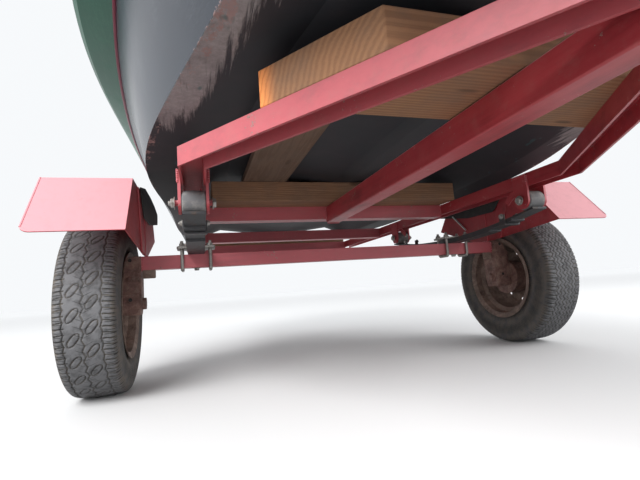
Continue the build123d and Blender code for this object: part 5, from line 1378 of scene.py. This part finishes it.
seam_band = looped(cowl_ring(290, -17, 395, 152), circle(1, 12) * [3.5, 8])
pan_band = looped(cowl_ring(232, 0, 345, 64), circle(6, 10))
piece("cowl_seal", on_motor(seam_band, pan_band), black_rubber, "grey_rubber", "motor")
stripes = []
for side in (-1, 1):
    for up in (236, 252):
        starts = [(side * 400, aft, up + 0.05 * (aft - 190)) for aft in np.linspace(70, 310, 30)]
        stripes.append(draped("motor_cowl", starts, (-side, 0, 0), flat_bar(8, 1.2)))
piece("cowl_stripes", on_motor(*stripes), gel_cream, "alloy", "motor")
louvres = [
    draped("motor_cowl", [(x, 800, up) for x in np.linspace(-60, 60, 16)], AHEAD, flat_bar(6, 5), 0.5)
    for up in (300, 316, 332, 348)
]
latch_at, _ = motor_struck("motor_cowl", (0, 800, 140), np.array(AHEAD))
latch = plate(oblong(52, 54, 9, (0, -7)), 7, 2, latch_at + [0, -3, 0], (-1, 0, 0), (0, 0, 1))
piece("cowl_louvres", on_motor(*louvres, latch), black_plastic, "black_plastic", "motor")

leg_bolts = []
for side in (-1, 1):
    for aft, up in ((170, 20), (250, 20), (210, -150), (210, -330)):
        place, normal = motor_struck("motor_leg", (side * 300, aft, up), np.array([-side, 0, 0]))
        leg_bolts.append(copies(bolt_head(7, 5), [place], normal))
piece("leg_bolts", on_motor(*leg_bolts), zinc, "zinc", "motor")
# The intake slits are thin black strips on the leg: painted shade of the openings.
slit_shades = []
for side in (-1, 1):
    for up in (-530, -540, -550):
        starts = [(side * 200, aft, up) for aft in np.linspace(88, 126, 10)]
        slit_shades.append(draped("motor_leg", starts, (-side, 0, 0), flat_bar(3, 1.6), 0))
piece("intake_slit_shades", on_motor(*slit_shades), black_rubber, "black_plastic", "motor")
anode = plate(oblong(28, 36, 6), 8, 2, (0, 317, -410.5))
piece("anode", on_motor(anode), alloy, "alloy", "motor")
screw_nut = copies(joined(hexagon(14, 7), thread(6, 6.5, 8.5)), [(0, 304.8, -545)], (0, 1, 0))
piece("propeller_nut", on_motor(screw_nut), zinc, "zinc", "motor_screw")
tube_nuts = copies(nut_and_bolt(17, 9, 8, 16), [(110.8, 1462, 1128)], RIGHTWARDS)
flange = plate(oblong(34, 207, 8, (115, 988.5)), 6, 1.5, (0, 1406.4, 0), *FACING_AHEAD)
flange_bolts = copies(bolt_head(9, 7), [(116, 1406.2, z) for z in (912, 1064)], (0, 1, 0))
piece("bracket_flanges", both(flange), motor_paint, "motor_paint")
piece("bracket_bolts", both(tube_nuts, flange_bolts), zinc, "zinc")

# %% [markdown]
# At the trailer's nose are the winch with its strap, the jockey wheel's grips and clamp screw, and
# the bolts of the post and of the coupling.

# %% Winch and its post


def webbing():
    """Strap of woven webbing: ribs across, fine threads along, faded and dirty."""
    f = Finish("strap_weave")
    ribs = (f.along("Z") * 400).fraction()
    threads = (f.along("X") * 700).fraction()
    weave = f.band((ribs - 0.5).bent(), 0.5, 0.1) * 0.6 + f.band((threads - 0.5).bent(), 0.5, 0.1) * 0.4
    tone = f.mix(f.patches(0.45, 0.7, 0.03, 5, 0.7) * 0.5, (0.10, 0.13, 0.17), (0.16, 0.14, 0.12))
    return f.surface(f.mix(weave * 0.3, tone, (0.22, 0.25, 0.28)), 0.85, weave, 0.0005)


strap_weave = webbing()
POST_Y, DRUM_Z, TEETH = -2890, 1206, 16
turns = np.arange(20)
layers = np.column_stack([30 + 0.5 * (turns % 2) + 0.55 * turns, 27 + 0.5 * (turns % 2)])
roll = [(0, -27), *(layers * [1, -1]), (40.6, -26), (41, 0), (40.6, 26), *layers[::-1], (0, 27)]
roll = copies(turned(roll, 48), [(0, POST_Y, DRUM_Z)], RIGHTWARDS)
tail = [(0, POST_Y + y, z) for y, z in ((38, 1218), (45, 1195), (49, 1160), (50, 1120))]
tail = swept(through(tail, 24), flat_bar(48, 2.2), (1, 0, 0.01))
piece("winch_strap", joined(roll, tail), strap_weave, "grey_rubber")
turn = np.linspace(-math.pi / 2, math.pi * 0.9, 24)
hook = np.column_stack([0 * turn, POST_Y + 50 + 11 * np.cos(turn), 1100 - 11 * np.sin(turn)])
hook = [(0, POST_Y + 50, 1124), (0, POST_Y + 50, 1118), *hook]
piece("strap_hook", swept(hook, circle(4, 10), RIGHTWARDS), zinc, "zinc")

turn = np.linspace(0, 2 * math.pi, TEETH * 4, endpoint=False)
saw = (turn * TEETH / (2 * math.pi)) % 1
teeth = np.column_stack([np.cos(turn), np.sin(turn)]) * (23 + 6 * saw)[:, None]
ratchet = plate(teeth, 6, 0.6, (42, POST_Y, DRUM_Z), *FACING_RIGHT)
PAWL = [(-30, 24), (-18, 22), (-8, 34), (-26, 38)]
pawl = plate(rounded(PAWL, 3), 5, 1, (42.5, POST_Y, DRUM_Z), *FACING_RIGHT)
winch_bolts = outwards(bolt_head(7, 5), 38, [(0, POST_Y + y, DRUM_Z - 36) for y in (-26, 26)])
post_foot = np.array([(x, POST_Y + y, 0) for x in (-46, 46) for y in (-56, 56)])
plate_bolts = copies(nut_and_bolt(9, 8, 5, 13), post_foot + [0, 0, 660])
rods = copies(disc(5, 84, 12), post_foot + [0, 0, 571])
stop_heads = outwards(bolt_head(13, 8), 53, [(0, -2670.1, 1072.5)])
coupling_bolts = outwards(nut_and_bolt(9, 8, 5, 14), 34, [(0, y, 619) for y in (-3185, -3145)])
under_plates = [plate(oblong(116, 28, 6, (0, POST_Y + y)), 6, 1, (0, 0, 570)) for y in (-56, 56)]
details = (ratchet, pawl, winch_bolts, plate_bolts, rods, stop_heads, coupling_bolts, *under_plates)
piece("winch_details", joined(*details), zinc, "zinc")

# %% Jockey wheel and timber bolts
JOCKEY_X, JOCKEY_Y = 73, -3060
SLEEVE = [(0, 0), (12, 0), (14.5, 4), (13.5, 20), (14.5, 38), (13.5, 56), (14.5, 74), (12, 78), (0, 78)]
grips = joined(
    copies(turned(SLEEVE, 20), [(68, POST_Y + 128, DRUM_Z)], RIGHTWARDS),
    copies(turned([(r * 0.93, h * 0.9) for r, h in SLEEVE], 20), [(JOCKEY_X, JOCKEY_Y - 98, 1024)]),
)
piece("crank_grips", grips, black_plastic, "black_plastic")
bar_line = np.linspace((JOCKEY_X + 72, JOCKEY_Y - 34, 600), (JOCKEY_X + 72, JOCKEY_Y + 34, 638), 8)
clamp_screw = joined(
    copies(thread(6, 0, 34), [(JOCKEY_X + 36, JOCKEY_Y, 619)], RIGHTWARDS),
    copies(disc(11, 12, 16), [(JOCKEY_X + 66, JOCKEY_Y, 619)], RIGHTWARDS),
    swept(bar_line, circle(4.5, 10)),
)
piece("jockey_clamp_screw", clamp_screw, zinc, "zinc")
jockey_axle = [(JOCKEY_X, JOCKEY_Y + 45, 100)]
axle_nuts = outwards(nut_and_bolt(13, 7, 6, 11), 36, jockey_axle)
piece("jockey_axle_nuts", axle_nuts, zinc, "zinc", "jockey_swivel")
cover = turned([(18, 0), (64, 0), (64, 0.6), (60, 0.9), (22, 0.9), (18, 0.6), (18, 0)], 40)
piece("jockey_discs", outwards(cover, 25, jockey_axle), zinc, "zinc", "jockey_roller")
timber_spots = [(x, y, 650) for x in (-SPRING_X, SPRING_X) for y in (-10, 1370)]
piece("timber_bolts", copies(nut_and_bolt(11, 9, 6, 18), timber_spots, DOWN), zinc, "zinc")

# %% [markdown]
# The floor is a wide pale sheet. Light that bounces off it onto the frame should be no brighter
# than a road's, so only rays that come from the camera, a mirror or glass see it pale.

# %% Floor, sky and lamps
FLOOR_SEEN, FLOOR_BOUNCE, FLOOR_REACH, FLOOR_Z = 0.78, 0.32, 60, -0.0005
SKY_SEEN, SKY_LIGHT = 0.97, 1.0


class Sky(Finish):
    """The world's node tree, with the same helpers."""

    def __init__(self, holder):
        self.tree = holder.node_tree
        self.shader = self.tree.nodes["Background"]


def seen_directly(finish):
    """1 for a ray from the camera, a reflection or glass, else 0."""
    rays = [
        finish.node("ShaderNodeLightPath", output=name)
        for name in ("Is Camera Ray", "Is Glossy Ray", "Is Transmission Ray")
    ]
    return rays[0].or_more(rays[1]).or_more(rays[2])


floor_finish = Finish("floor")
share = seen_directly(floor_finish)
tone = floor_finish.mix(share, (FLOOR_BOUNCE,) * 3, (FLOOR_SEEN,) * 3)
far = floor_finish.length(floor_finish.place)
tone = floor_finish.mix(floor_finish.band(far, 5, 26) * share, tone, (SKY_SEEN,) * 3)
floor_finish.surface(tone, 0.9)
floor_mesh = bpy.data.meshes.new("floor")
square = flat_bar(2 * FLOOR_REACH, 2 * FLOOR_REACH)
floor_mesh.from_pydata([(x, y, FLOOR_Z) for x, y in square], [], [(0, 1, 2, 3)])
floor = new_object("floor", floor_mesh)
give_finish(floor, floor_finish.material)

world = bpy.data.worlds.new("sky")
bpy.context.scene.world = world
world.use_nodes = True
sky = Sky(world)
sky.feed(sky.shader.inputs["Color"], (0.96, 0.98, 1.0))
strength = seen_directly(sky) * (SKY_SEEN - SKY_LIGHT) + SKY_LIGHT
sky.feed(sky.shader.inputs["Strength"], strength)

LAMPS = (
    # name, place from the axle in metres, size, watts
    ("key", (-4.5, -5.0, 5.0), 5.0, 760),
    ("fill", (5.0, -4.0, 3.5), 5.0, 260),
)
for name, place, size, watts in LAMPS:
    lamp = bpy.data.lights.new(name, "AREA")
    lamp.size = size
    lamp.energy = watts
    holder = new_object(name, lamp)
    holder.location = (place[0], place[1] + AXLE_Y, place[2])
    back = unit(place)
    side = unit(np.cross([0, 0, 1], back))
    aim = Matrix(np.column_stack([side, np.cross(back, side), back]).tolist())
    holder.rotation_euler = aim.to_euler()
bpy.context.scene.view_settings.view_transform = "Standard"
print("floor, sky and", len(LAMPS), "lamps")
